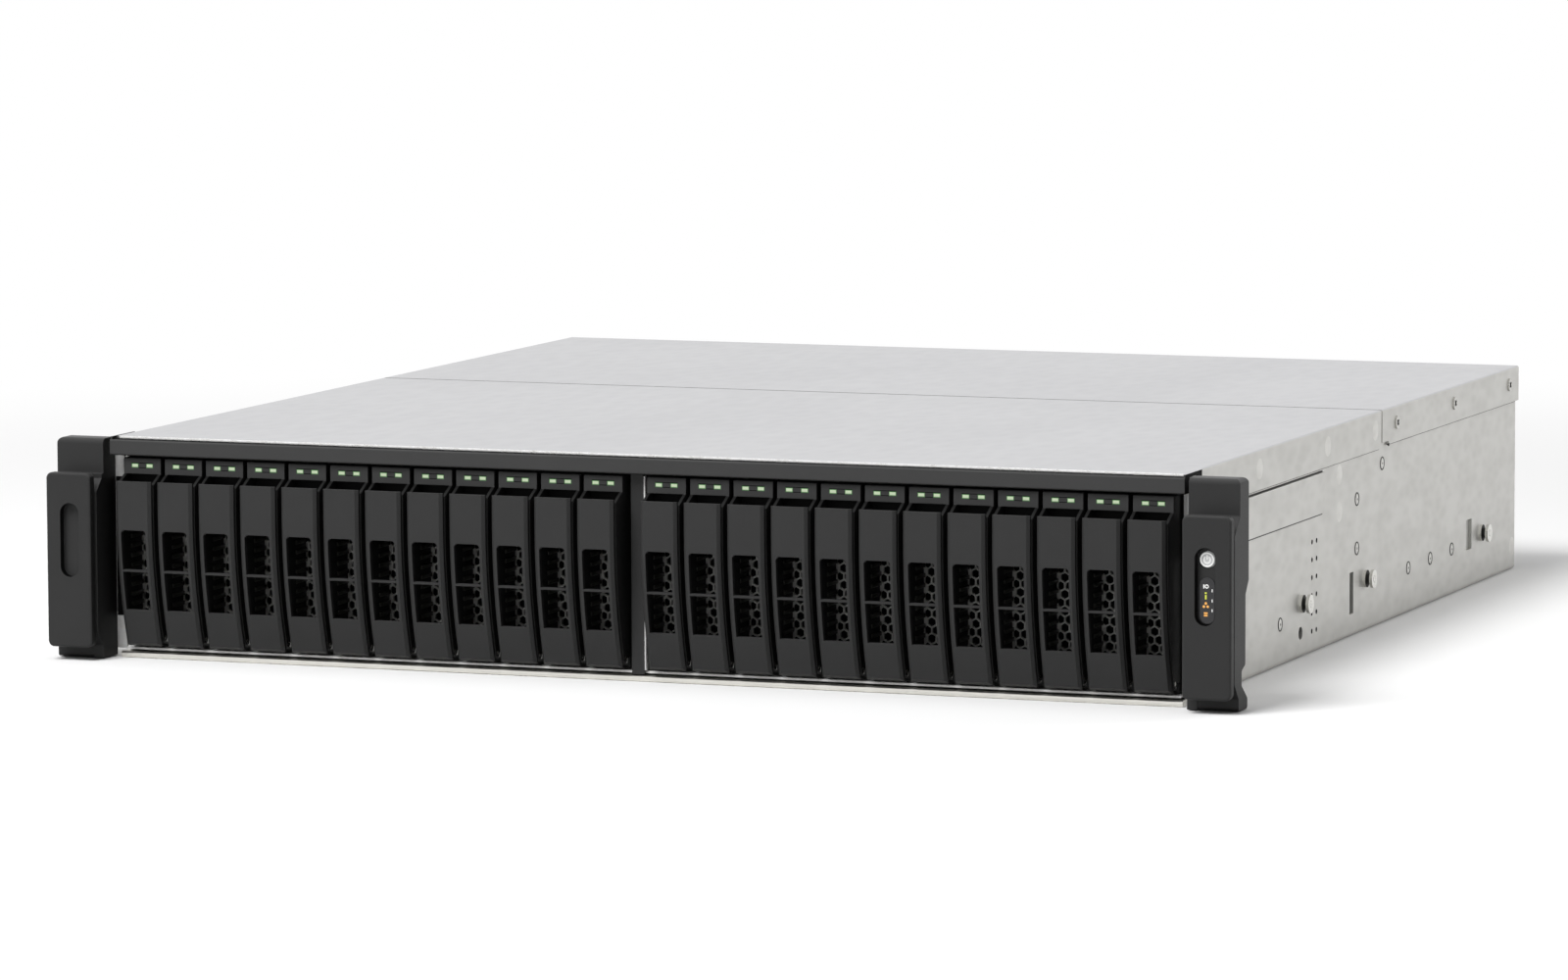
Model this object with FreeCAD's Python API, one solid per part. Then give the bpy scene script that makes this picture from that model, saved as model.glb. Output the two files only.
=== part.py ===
# Two-unit rack storage chassis, 19 inches wide, with twenty-four slim hot-swap drive trays.
# X runs to the right as seen from the front, Y runs to the rear and Z runs up, in millimetres.
# Y is measured from the front lip of the pan, and the finished pieces are moved so that the
# origin lies under the middle of the whole chassis.
import FreeCAD
import Part
import math
import os

V = FreeCAD.Vector
FULL_TURN = 360.0
SKEW = 0.04           # most that the sine between an edge and the axis that it follows may be

# Clearances
FIT = 0.1             # between pieces that are fastened together
RUN = 0.3             # between pieces that slide or swing past each other
PIN_PLAY = 0.05       # radial play of a pin, screw or barrel
PAST = 2.0            # how far a cutting tool runs past the face that it cuts

# Drives and bays
DRIVE_WIDTH = 69.85
DRIVE_LENGTH = 100.2
DRIVE_THICKNESS = 14.8
DRIVE_EDGE = 0.8
TRAY_MARGIN = 0.5     # tray past the drive on each side
BAY_GAP = 1.8         # between two trays
BAYS_PER_BANK = 12
BANK_GAP = 8.3        # between the two banks, at the centre post

# Sheets
PAN_SHEET = 1.2
COVER_SHEET = 1.0
CAGE_SHEET = 0.8
BRACKET_SHEET = 1.5
BEND_RADIUS = 2.0     # outside of the pan's bends
COVER_BEND = 0.9

# Heights
FLOOR_GAP = 2.0       # under the cage floor
HEADROOM = 6.15       # between the cage and the cover
HEM_HEIGHT = 2.5
HEM_LENGTH = 8.0
HEM_ROUND = 1.1
CAGE_FRONT = 2.0      # behind the front lip
WALL_FRONT = 7.5      # front edges of the side walls, behind the front lip

# Tray bezel, runners and grill
HEAD_FRONT = -1.7
HEAD_HEIGHT = 6.25
HEAD_EDGE = 0.5
SCOOP_HEIGHT = 2.2
SCOOP_SLOPE = 0.525
SCOOP_WALL_SETBACK = 4.7
SCOOP_WALL_THICKNESS = 1.5
SCOOP_WALL_HEIGHT = 14.5
CHEEK_THICKNESS = 1.2
BRIDGE_HEIGHT = 1.2
GRILL_SETBACK = 12.7
GRILL_THICKNESS = 1.2
HEX_SIDES = 6
HEX_PITCH = 3.64
HEX_WEB = 0.64
HEX_MARGIN = 6.5      # plain strip at the top and bottom of the grill
HEX_EDGE = 0.3        # plain strip down each side of the grill
LIGHT_WIDTH = 2.9
LIGHT_HEIGHT = 1.7
LIGHT_SPACING = 6.2
LIGHT_DROP = 2.15     # from the top of the head
LIGHT_LENGTH = 9.0
RAIL_THICKNESS = 2.2
RAIL_OVERRUN = 2.6    # past the rear of the drive
DRIVE_SETBACK = 3.0
SCREW_FRONT = 14.0
SCREW_REAR = 90.6
SCREW_HEAD_RADIUS = 2.5
SCREW_HEAD_DEPTH = 1.2
SCREW_RADIUS = 1.5
SCREW_BITE = 3.0

# Tray lever
LEVER_FRONT = -10.8
LEVER_INSET = 0.45
LEVER_THICKNESS = 2.0
LEVER_SWEEP = 8.3     # how far the foot of the lever lies behind its top
LEVER_STRAIGHT = 12.3
LEVER_LIFT = 0.9      # foot of the lever above the underside of the tray
LEVER_EDGE = 1.2      # bevel down both sides of the front face and under it
PIVOT_HEIGHT = 4.3
PIVOT_DEPTH = 3.9     # behind the front face
BARREL_RADIUS = 2.2
PIN_RADIUS = 0.9
WINDOW_WIDTH = 10.4
WINDOW_HEIGHT = 31.5
WINDOW_DROP = 19.0
WINDOW_CORNER = 1.4
WINDOW_BAR = 0.9
WINDOW_BAR_DROP = 15.5
TONGUE_WIDTH = 6.0
TONGUE_HEIGHT = 1.6
TONGUE_DROP = 6.0

# Centre post and trim bar
POST_WIDTH = 5.2
POST_FRONT = 0.7
PARTITION_WIDTH = 5.2
TRIM_FRONT = -3.9
TRIM_LIFT = 0.65
TRIM_OVERHANG = 0.85
TRIM_EDGE = 0.7
CLIP_LENGTH = 17.0
CLIP_HEIGHT = 3.0
CLIP_STRIP = 1.4      # height of the strip that carries the foot of an end clip
CLIP_FOOT = 5.0
HOOK_LENGTH = 7.0
HOOK_WIDTH = 20.0
HOOK_THICKNESS = 1.2
HOOK_COUNT = 5

# Backplane, fans and main board
MATE_GAP = 0.3
CAGE_OVERRUN = 2.8    # cage past the rear of the runners
BOARD_THICKNESS = 1.6
BACKPLANE_MARGIN = 1.2
SOCKET_WIDTH = 6.0
SOCKET_HEIGHT = 33.0
SOCKET_LIFT = 8.0
VENT_WIDTH = 9.0
VENT_HEIGHT = 20.0
VENT_DROP = 5.0
FAN_SPACE = 58.0
FAN_DEPTH = 38.0
FAN_CLEAR = 2.4       # above the fan, and below it
FAN_COUNT = 4
FAN_RIM = 2.5
FAN_TIP_GAP = 1.0
FAN_HUB_RADIUS = 18.0
FAN_SPIDER = 3.0
FAN_STRUTS = 4
FAN_BLADES = 7
FAN_BLADE_THICKNESS = 1.4
FAN_BLADE_CHORD = 22.0
FAN_BLADE_PITCH = 38.0
BULKHEAD_SHEET = 1.2
BOARD_SPACE = 16.0
BOARD_DEPTH = 216.0
BOARD_SIDE = 6.0
BOARD_LIFT = 6.0
REAR_SPACE = 5.7
COVER_SEAM_SETBACK = 34.4
SEAM_GAP = 1.2

# Main board fittings
STANDOFF_RADIUS = 3.0
STANDOFF_INSET = 12.0
SINK_SIZE = 84.0
SINK_BASE = 6.0
SINK_HEIGHT = 52.0
SINK_FINS = 22
SINK_FIN = 1.2
SINK_CENTRE_X = -40.0
SINK_SETBACK = 42.0
MEMORY_LENGTH = 133.0
MEMORY_HEIGHT = 31.0
MEMORY_THICKNESS = 1.6
MEMORY_PITCH = 9.5
MEMORY_PER_SIDE = 4
MEMORY_GAP = 14.0     # from the heat sink to the first module
MEMORY_SETBACK = 18.0
MEMORY_SOCKET_WIDTH = 6.5
MEMORY_SOCKET_HEIGHT = 9.0
CHIP_SINK_SIZE = 40.0
CHIP_SINK_HEIGHT = 14.0
CHIP_SINK_GAP = 12.0
PORT_WALL = 1.2
PORT_GAP = 7.0
PORT_INSET = 34.0
JACK_WIDTH = 16.0
JACK_HEIGHT = 13.6
JACK_DEPTH = 21.0
SFP_WIDTH = 15.6
SFP_HEIGHT = 11.0
SFP_DEPTH = 46.0
USB_WIDTH = 15.0
USB_HEIGHT = 8.0
USB_DEPTH = 18.0
PORT_FLOOR = 4.0      # wall behind the hollow of a port

# Power supply and its bay
SUPPLY_WIDTH = 73.5
SUPPLY_HEIGHT = 40.0
SUPPLY_LENGTH = 185.0
SUPPLY_SIDE = 4.0
SUPPLY_EDGE = 1.2
SUPPLY_PROUD = 1.0
BAY_SHEET = 1.0
HANDLE_REACH = 22.0
HANDLE_BAR = 5.0
HANDLE_WIDTH = 8.0
HANDLE_HEIGHT = 34.0
HANDLE_INSET = 30.0
LATCH_WIDTH = 10.0
LATCH_HEIGHT = 14.0
LATCH_REACH = 9.0
LATCH_INSET = 9.0
INLET_WIDTH = 28.0
INLET_HEIGHT = 21.0
INLET_DEPTH = 18.0
INLET_WALL = 2.2
INLET_REACH = 1.6
INLET_INSET = 2.0
EDGE_WIDTH = 40.0
EDGE_LENGTH = 10.0

# Rear vents
VENT_SLOT = 3.0
VENT_SLOT_PITCH = 6.0
VENT_SLOT_HEIGHT = 26.0
VENT_SLOT_TOP = 8.0
VENT_SLOT_COUNT = 36

# Rails, holes and slots in the side walls
STUD_FIRST = 149.7
STUD_SECOND = 236.0
STUD_REAR_INSET = 52.7
STUD_HEIGHT = 21.2
STUD_COLLAR_RADIUS = 3.5
STUD_COLLAR = 1.0
STUD_NECK_RADIUS = 1.8
STUD_NECK = 1.7
STUD_HEAD_RADIUS = 3.7
STUD_HEAD = 1.2
DOT_RADIUS = 1.0
DOT_COLUMN = 163.3
DOT_COLUMNS = 2
DOT_COLUMN_PITCH = 6.0
DOT_BOTTOM = 8.8
DOT_PITCH = 7.0
DOT_ROWS = 6
HOLE_PLACE = 148.3
HOLE_HEIGHT = 9.8
HOLE_RADIUS = 2.5
SLOT_PLACE = 217.0
SLOT_WIDTH = 5.0
SLOT_BOTTOM = 9.2
SLOT_TOP = 25.8
WINDOW_REAR_INSET = 71.4
SIDE_WINDOW_WIDTH = 8.4
SIDE_WINDOW_BOTTOM = 16.2
SIDE_WINDOW_TOP = 28.8

# Covers
FLANGE_DROP = 15.4
REAR_FLANGE_DROP = 14.7
FLANGE_START = 9.0
CORNER_RELIEF_LENGTH = 9.0
CORNER_RELIEF_HEIGHT = 1.4
REAR_LIP = 7.0
COVER_REAR_OVERHANG = 1.2
COVER_SCREW_FIRST = 21.4   # from the seam to the first screw
COVER_SCREW_LAST = 13.9    # from the last screw to the rear of the pan
COVER_SCREW_COUNT = 3
COVER_SCREW_DROP = 6.9
COVER_SCREW_RADIUS = 2.7
COVER_SCREW_HEAD = 0.7
COVER_SCREW_SHANK = 1.5

# Rack ears
EAR_GAP = 2.95        # between the body and an ear
EAR_WIDTH = 19.8
EAR_BOTTOM = 0.4
EAR_TOP_DROP = 0.8
EAR_HEAD_FRONT = -5.5
EAR_HEAD_HEIGHT = 13.6
EAR_FRONT = -12.0
EAR_SHOULDER = 6.6
EAR_FOOT_FRONT = -6.9
EAR_FOOT_HEIGHT = 4.6
EAR_FOOT_SLOPE = 6.0
EAR_REAR = 5.1
EAR_WAIST_REAR = 1.3
EAR_WAIST_TOP = 43.0
EAR_WAIST_SLOPE = 5.0
EAR_NICK_REAR = -3.2
EAR_NICK_TOP = 15.2
EAR_NICK_SLOPE = 1.8
EAR_NICK_BOTTOM = 9.6
EAR_FOOT_REAR = 3.85
EAR_FOOT_REAR_TOP = 4.3
EAR_WEB = 4.0         # inner side of the ear, straight down its whole rear
EAR_ROUND = 1.2
EAR_CROWN = 2.2       # rounding round the top of the ear's head
CAP_FRONT = -16.3
CAP_INSET = 0.7       # from the inner edge of the ear
CAP_OUTER_INSET = 0.1
CAP_BOTTOM = 5.3
CAP_RISE = 0.9        # above the ear's step
CAP_CORNER = 2.4
CAP_EDGE = 1.0
CAP_GROOVE = 0.6
EAR_SLOT_WIDTH = 7.9
EAR_SLOT_CENTRE = 10.1   # from the ear's outer edge
EAR_SLOT_BOTTOM = 32.9
EAR_SLOT_TOP = 61.7
EAR_SLOT_DEPTH = 3.0
BUTTON_RADIUS = 3.0
BUTTON_DROP = 4.6     # from the top of the slot to the middle of the button
BUTTON_FRONT = -13.6
BUTTON_LENGTH = 6.3
BUTTON_EDGE = 0.6
BUTTON_TRAVEL = 1.0
ARM_HEIGHT = 16.0
ARM_BOTTOM = 54.0
ARM_END = 176.0
BRACKET_FLANGE_WIDTH = 18.4
BRACKET_BOTTOM = 3.0

# Worked-out sizes across the chassis
tray_width = DRIVE_THICKNESS + 2 * TRAY_MARGIN
bay_pitch = tray_width + BAY_GAP
rib_width = BAY_GAP - 2 * RUN
cage_inner = BANK_GAP / 2 + BAYS_PER_BANK * bay_pitch
cage_outer = cage_inner + CAGE_SHEET
pan_inner = cage_outer + FIT
pan_outer = pan_inner + PAN_SHEET
flange_inner = pan_outer + FIT
flange_outer = flange_inner + COVER_SHEET
ear_inner = flange_outer + EAR_GAP
ear_outer = ear_inner + EAR_WIDTH
supply_right = pan_inner - SUPPLY_SIDE
supply_left = supply_right - SUPPLY_WIDTH
bay_wall_right = supply_left - RUN
bay_wall_left = bay_wall_right - BAY_SHEET
board_left = -pan_inner + BOARD_SIDE
board_right = bay_wall_left - BOARD_SIDE

# Worked-out heights
floor_bottom = PAN_SHEET + FLOOR_GAP
floor_top = floor_bottom + CAGE_SHEET
tray_bottom = floor_top + RUN
drive_bottom = tray_bottom + RAIL_THICKNESS + FIT
drive_top = drive_bottom + DRIVE_WIDTH
tray_top = drive_top + FIT + RAIL_THICKNESS
ceiling_bottom = tray_top + RUN
ceiling_top = ceiling_bottom + CAGE_SHEET
cover_under = ceiling_top + HEADROOM
body_height = cover_under + COVER_SHEET
wall_top = cover_under - FIT
head_bottom = tray_top - HEAD_HEIGHT
lever_top = head_bottom - SCOOP_HEIGHT
ear_top = body_height - EAR_TOP_DROP
ear_step = ear_top - EAR_HEAD_HEIGHT
cap_top = ear_step + CAP_RISE
board_bottom = PAN_SHEET + BOARD_LIFT
board_top = board_bottom + BOARD_THICKNESS
supply_bottom = PAN_SHEET + RUN
supply_top = supply_bottom + SUPPLY_HEIGHT
shelf_bottom = supply_top + RUN
shelf_top = shelf_bottom + BAY_SHEET

# Worked-out places from front to rear
grill_front = HEAD_FRONT + GRILL_SETBACK
bezel_back = grill_front + GRILL_THICKNESS
drive_front = bezel_back + DRIVE_SETBACK
drive_back = drive_front + DRIVE_LENGTH
rail_end = drive_back + RAIL_OVERRUN
cage_end = rail_end + CAGE_OVERRUN
backplane_front = cage_end + FIT
backplane_back = backplane_front + BOARD_THICKNESS
fan_front = backplane_back + FAN_SPACE
fan_back = fan_front + FAN_DEPTH
bulkhead_front = fan_back + FIT
bulkhead_back = bulkhead_front + BULKHEAD_SHEET
board_front = bulkhead_back + BOARD_SPACE
board_back = board_front + BOARD_DEPTH
rear_inside = board_back + REAR_SPACE
body_depth = rear_inside + PAN_SHEET
cover_seam = bulkhead_back + COVER_SEAM_SETBACK
supply_back = body_depth + SUPPLY_PROUD
supply_front = supply_back - SUPPLY_LENGTH
handle_back = supply_back + HANDLE_REACH

# The lever's side curve: straight at the top, then one bend that runs back to its foot
lever_width = tray_width - 2 * LEVER_INSET
bend_top = lever_top - LEVER_STRAIGHT
lever_foot = tray_bottom + LEVER_LIFT
bend_radius = ((bend_top - lever_foot) ** 2 + LEVER_SWEEP ** 2) / (2 * LEVER_SWEEP)
foot_front = LEVER_FRONT + LEVER_SWEEP

# The lever's pivot lies behind its front face, and the cheeks leave room for the foot to swing
pivot_z = tray_bottom + PIVOT_HEIGHT
pivot_reach = math.sqrt((bend_radius - PIVOT_DEPTH) ** 2 - (bend_top - pivot_z) ** 2)
pivot_y = LEVER_FRONT + bend_radius - pivot_reach
pivot_ear_radius = PIVOT_DEPTH - LEVER_THICKNESS - RUN
barrel_half = tray_width / 2 - CHEEK_THICKNESS - RUN
foot_swing = math.hypot(pivot_y - foot_front, pivot_z - lever_foot)
relief_back = pivot_y + foot_swing + RUN

# The origin is under the middle of the chassis
origin_y = (CAP_FRONT + handle_back) / 2


def block(x0, x1, y0, y1, z0, z1):
    """A box between two corners."""
    return Part.makeBox(x1 - x0, y1 - y0, z1 - z0, V(x0, y0, z0))


def rod(radius, start, end):
    """A round bar from one point to another."""
    along = end - start
    return Part.makeCylinder(radius, along.Length, start, along)


def prism_x(edges, x0, x1):
    """An outline in the YZ plane, drawn at X = 0, pulled from x0 to x1."""
    face = Part.Face(Part.Wire(edges))
    face.translate(V(x0, 0, 0))
    return face.extrude(V(x1 - x0, 0, 0))


def lines_yz(points):
    """Straight edges through points given as (y, z)."""
    ends = [V(0, y, z) for y, z in points]
    return [Part.LineSegment(a, b).toShape() for a, b in zip(ends, ends[1:])]


def stadium(centre_x, width, z0, z1, y0, y1):
    """An upright bar with round ends, pulled along Y."""
    radius = width / 2
    low = V(centre_x, y0, z0 + radius)
    high = V(centre_x, y0, z1 - radius)
    along = V(0, y1 - y0, 0)
    body = block(centre_x - radius, centre_x + radius, y0, y1, low.z, high.z)
    ends = [rod(radius, point, point + along) for point in (low, high)]
    return body.fuse(ends).removeSplitter()


def edges_along(shape, axis, test):
    """The straight edges of a shape along one axis whose middle passes a test."""
    found = []
    for edge in shape.Edges:
        start = edge.Vertexes[0].Point
        end = edge.Vertexes[-1].Point
        direction = end - start
        if direction.Length < FIT:
            continue
        direction.normalize()
        middle = (start + end) * 0.5
        if direction.cross(axis).Length < SKEW and test(middle):
            found.append(edge)
    return found


def mirrored(shape):
    """The same piece on the other side of the chassis."""
    return shape.mirror(V(0, 0, 0), V(1, 0, 0))


def write(name, solids):
    """Move a node's solids to the chassis origin and write them to one file."""
    group = Part.makeCompound(solids)
    group.translate(V(0, -origin_y, 0))
    group.exportStep("parts/" + name + ".step")


def bay_centres():
    """The middle of each bay, from the left of the front to the right."""
    half = [BANK_GAP / 2 + (k + 0.5) * bay_pitch for k in range(BAYS_PER_BANK)]
    return [-x for x in reversed(half)] + half


def bend_y(depth, z):
    """How far back the lever's bend is at a height, at a depth behind its front face."""
    return LEVER_FRONT + bend_radius - math.sqrt((bend_radius - depth) ** 2 - (bend_top - z) ** 2)


def bend_arc(depth, z):
    """The lever's bend from its top down to a height, at a depth behind its front face."""
    heights = (bend_top, (bend_top + z) / 2, z)
    return Part.Arc(*[V(0, bend_y(depth, height), height) for height in heights]).toShape()


def hex_holes(x_half, z0, z1, y0, y1):
    """Staggered six-sided holes over a strip, pointed at the top and cut off at its sides."""
    radius = (HEX_PITCH - HEX_WEB) / math.sqrt(3)
    row_pitch = HEX_PITCH * math.sqrt(3) / 2
    rows = int((z1 - z0 - 2 * radius) / row_pitch) + 1
    limit = x_half - HEX_EDGE
    holes = []
    for row in range(rows):
        z = z0 + radius + row * row_pitch
        shift = HEX_PITCH / 2 if row % 2 else 0.0
        count = int((limit - shift) / HEX_PITCH)
        first = -count if not row % 2 else -count - 1
        for step in range(first, count + 1):
            x = shift + step * HEX_PITCH
            corners = []
            for side in range(HEX_SIDES + 1):
                turn = math.pi / HEX_SIDES * (2 * side + 1)
                corner_x = max(-limit, min(limit, x + radius * math.cos(turn)))
                corners.append(V(corner_x, y0, z + radius * math.sin(turn)))
            holes.append(Part.Face(Part.makePolygon(corners)).extrude(V(0, y1 - y0, 0)))
    return holes


def tray_bezel():
    """The moulded front of a tray: head, two cheeks, scoop wall and bottom bridge."""
    half = tray_width / 2
    inner = half - CHEEK_THICKNESS
    depth = LEVER_THICKNESS + RUN
    cheek_front = LEVER_FRONT + depth
    scoop_foot = head_bottom - SCOOP_SLOPE * (HEAD_FRONT - cheek_front)
    corner = (bezel_back, head_bottom)
    top = [corner, (HEAD_FRONT, head_bottom), (cheek_front, scoop_foot), (cheek_front, bend_top)]
    relief = [(bend_y(depth, pivot_z), pivot_z), (relief_back, pivot_z), (relief_back, tray_bottom)]
    bottom = relief + [(bezel_back, tray_bottom), corner]
    outline = lines_yz(top) + [bend_arc(depth, pivot_z)] + lines_yz(bottom)
    head = block(-half, half, HEAD_FRONT, bezel_back, head_bottom, tray_top)
    front_edges = edges_along(head, V(1, 0, 0), lambda p: p.y < HEAD_FRONT + FIT)
    top_edges = [edge for edge in front_edges if edge.Vertexes[0].Z > tray_top - FIT]
    head = head.makeFillet(HEAD_EDGE, top_edges)
    pieces = []
    for x0 in (-half, inner):
        x1 = x0 + CHEEK_THICKNESS
        pieces.append(prism_x(outline, x0, x1))
        pieces.append(pivot_bar(pivot_ear_radius, x0, x1))
    wall_front = HEAD_FRONT + SCOOP_WALL_SETBACK
    wall_back = wall_front + SCOOP_WALL_THICKNESS
    wall_bottom = head_bottom - SCOOP_WALL_HEIGHT
    pieces.append(block(-inner, inner, wall_front, wall_back, wall_bottom, head_bottom))
    bridge_top = tray_bottom + BRIDGE_HEIGHT
    pieces.append(block(-inner, inner, relief_back, bezel_back, tray_bottom, bridge_top))
    bezel = head.fuse(pieces).removeSplitter()
    bore = pivot_bar(PIN_RADIUS, -half - PAST, half + PAST)
    return bezel.cut([bore] + light_pipes())


def pivot_bar(radius, x0, x1):
    """A round bar on the lever's pivot axis."""
    return rod(radius, V(x0, pivot_y, pivot_z), V(x1, pivot_y, pivot_z))


def light_pipes():
    """The two clear bars that carry the lights to the front of the head."""
    z1 = tray_top - LIGHT_DROP
    z0 = z1 - LIGHT_HEIGHT
    pipes = []
    for x in (-LIGHT_SPACING / 2, LIGHT_SPACING / 2):
        x0 = x - LIGHT_WIDTH / 2
        pipes.append(block(x0, x0 + LIGHT_WIDTH, HEAD_FRONT, HEAD_FRONT + LIGHT_LENGTH, z0, z1))
    return pipes


def tray_grill():
    """The pierced plate that lets air into the tray."""
    half = tray_width / 2 - CHEEK_THICKNESS
    z0 = tray_bottom + BRIDGE_HEIGHT
    plate = block(-half, half, grill_front, bezel_back, z0, head_bottom)
    holes = hex_holes(half, z0 + HEX_MARGIN, head_bottom - HEX_MARGIN, grill_front - PAST, bezel_back + PAST)
    return plate.cut(holes)


def drive_screws(play):
    """The four screws that hold the drive between the runners, or their holes."""
    screws = []
    for place in (SCREW_FRONT, SCREW_REAR):
        y = drive_front + place
        for face, inward in ((tray_bottom, V(0, 0, 1)), (tray_top, V(0, 0, -1))):
            start = V(0, y, face)
            head_end = start + inward * SCREW_HEAD_DEPTH
            tip = start + inward * (RAIL_THICKNESS + FIT + SCREW_BITE)
            head = rod(SCREW_HEAD_RADIUS + play, start, head_end)
            screws.append(head.fuse(rod(SCREW_RADIUS + play, head_end, tip)))
    return screws


def tray_solids():
    """One tray at X = 0 with its drive, runners, screws, lights and pivot pin."""
    half = tray_width / 2
    holes = drive_screws(PIN_PLAY)
    runners = [
        block(-half, half, bezel_back, rail_end, tray_bottom, tray_bottom + RAIL_THICKNESS),
        block(-half, half, bezel_back, rail_end, tray_top - RAIL_THICKNESS, tray_top),
    ]
    runners = [runner.cut(holes) for runner in runners]
    thick = DRIVE_THICKNESS / 2
    drive = block(-thick, thick, drive_front, drive_back, drive_bottom, drive_top)
    drive = drive.makeChamfer(DRIVE_EDGE, edges_along(drive, V(0, 1, 0), lambda p: True))
    drive = drive.cut(holes)
    pin = pivot_bar(PIN_RADIUS, -half, half)
    return [tray_bezel(), tray_grill(), drive, pin] + runners + light_pipes() + drive_screws(0.0)


def lever_window():
    """The two upright openings in the lever, with the bar left between them."""
    half = WINDOW_WIDTH / 2
    top = lever_top - WINDOW_DROP
    bottom = top - WINDOW_HEIGHT
    y0 = LEVER_FRONT - PAST
    y1 = foot_front + LEVER_THICKNESS + PAST
    opening = block(-half, half, y0, y1, bottom, top)
    opening = opening.makeFillet(WINDOW_CORNER, edges_along(opening, V(0, 1, 0), lambda p: p.z > top - FIT))
    bar_top = top - WINDOW_BAR_DROP
    return opening.cut(block(-half, half, y0, y1, bar_top - WINDOW_BAR, bar_top))


def tray_lever():
    """One lever at X = 0: curved panel, barrel at its foot and latch tongue behind."""
    half = lever_width / 2
    back = LEVER_FRONT + LEVER_THICKNESS
    top = [(back, bend_top), (back, lever_top), (LEVER_FRONT, lever_top), (LEVER_FRONT, bend_top)]
    bottom = [(foot_front, lever_foot), (bend_y(LEVER_THICKNESS, lever_foot), lever_foot)]
    bends = [bend_arc(depth, lever_foot) for depth in (0.0, LEVER_THICKNESS)]
    panel = prism_x(Part.__sortEdges__(lines_yz(top) + lines_yz(bottom) + bends), -half, half)
    panel = panel.makeChamfer(LEVER_EDGE, [edge for edge in panel.Edges if is_front_rim(edge, half)])
    panel = panel.cut(lever_window())
    barrel = pivot_bar(BARREL_RADIUS, -barrel_half, barrel_half)
    tongue_top = lever_top - TONGUE_DROP
    tongue_end = HEAD_FRONT + SCOOP_WALL_SETBACK - RUN
    tongue_start = LEVER_FRONT + LEVER_THICKNESS / 2
    side = TONGUE_WIDTH / 2
    tongue = block(-side, side, tongue_start, tongue_end, tongue_top - TONGUE_HEIGHT, tongue_top)
    lever = panel.fuse([barrel, tongue]).removeSplitter()
    return lever.cut(pivot_bar(PIN_RADIUS + PIN_PLAY, -half, half))


def is_front_rim(edge, half):
    """Whether an edge runs down one side of the lever's front face or along its foot."""
    middle = edge.valueAt((edge.FirstParameter + edge.LastParameter) / 2)
    points = [vertex.Point for vertex in edge.Vertexes] + [middle]
    on_front = all(p.y - bend_y(0.0, min(p.z, bend_top)) < FIT / 2 for p in points)
    on_side = all(abs(p.x) > half - FIT / 2 for p in points)
    on_foot = all(p.z < lever_foot + FIT / 2 for p in points)
    return on_front and (on_side or on_foot)


def drive_cage():
    """The tunnel that holds the trays, with guide ribs and the centre partition."""
    tunnel = block(-cage_outer, cage_outer, CAGE_FRONT, cage_end, floor_bottom, ceiling_top)
    y0 = CAGE_FRONT - PAST
    y1 = cage_end + PAST
    tunnel = tunnel.cut(block(-cage_inner, cage_inner, y0, y1, floor_top, ceiling_bottom))
    tunnel = tunnel.cut(block(-pan_inner, pan_inner, y0, WALL_FRONT, floor_top, ceiling_bottom))
    side = PARTITION_WIDTH / 2
    partition = block(-side, side, CAGE_FRONT, cage_end, floor_top, ceiling_bottom)
    inner = side - CAGE_SHEET
    hollow = block(-inner, inner, CAGE_FRONT + CAGE_SHEET, y1, floor_top, ceiling_bottom)
    pieces = [partition.cut(hollow)]
    rib_height = RAIL_THICKNESS - RUN
    rib_front = bezel_back + RUN
    for place in range(1, BAYS_PER_BANK):
        for x in (-BANK_GAP / 2 - place * bay_pitch, BANK_GAP / 2 + place * bay_pitch):
            x0 = x - rib_width / 2
            x1 = x + rib_width / 2
            pieces.append(block(x0, x1, rib_front, cage_end, floor_top, floor_top + rib_height))
            pieces.append(block(x0, x1, rib_front, cage_end, ceiling_bottom - rib_height, ceiling_bottom))
    return [tunnel.fuse(pieces).removeSplitter()]


def side_wall_tools():
    """The holes and slots that go through both side walls."""
    left = -pan_outer - PAST
    right = pan_outer + PAST
    tools = [rod(HOLE_RADIUS, V(left, HOLE_PLACE, HOLE_HEIGHT), V(right, HOLE_PLACE, HOLE_HEIGHT))]
    for column in range(DOT_COLUMNS):
        y = DOT_COLUMN + column * DOT_COLUMN_PITCH
        for row in range(DOT_ROWS):
            z = DOT_BOTTOM + row * DOT_PITCH
            tools.append(rod(DOT_RADIUS, V(left, y, z), V(right, y, z)))
    half = SLOT_WIDTH / 2
    tools.append(block(left, right, SLOT_PLACE - half, SLOT_PLACE + half, SLOT_BOTTOM, SLOT_TOP))
    window_y = body_depth - WINDOW_REAR_INSET
    half = SIDE_WINDOW_WIDTH / 2
    tools.append(block(left, right, window_y - half, window_y + half, SIDE_WINDOW_BOTTOM, SIDE_WINDOW_TOP))
    return tools


def rear_wall_tools():
    """The openings in the rear wall: power supply, ports and vents."""
    y0 = rear_inside - PAST
    y1 = body_depth + PAST
    x0 = supply_left - RUN
    x1 = supply_right + RUN
    tools = [block(x0, x1, y0, y1, supply_bottom - RUN, shelf_bottom)]
    z0 = board_top - FIT
    for left, width, height, depth in port_places():
        z1 = board_top + height + FIT
        tools.append(block(left - FIT, left + width + FIT, y0, y1, z0, z1))
    vent_top = wall_top - VENT_SLOT_TOP
    first = (board_left + board_right - (VENT_SLOT_COUNT - 1) * VENT_SLOT_PITCH) / 2
    for step in range(VENT_SLOT_COUNT):
        x = first + step * VENT_SLOT_PITCH
        tools.append(stadium(x, VENT_SLOT, vent_top - VENT_SLOT_HEIGHT, vent_top, y0, y1))
    return tools


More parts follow.
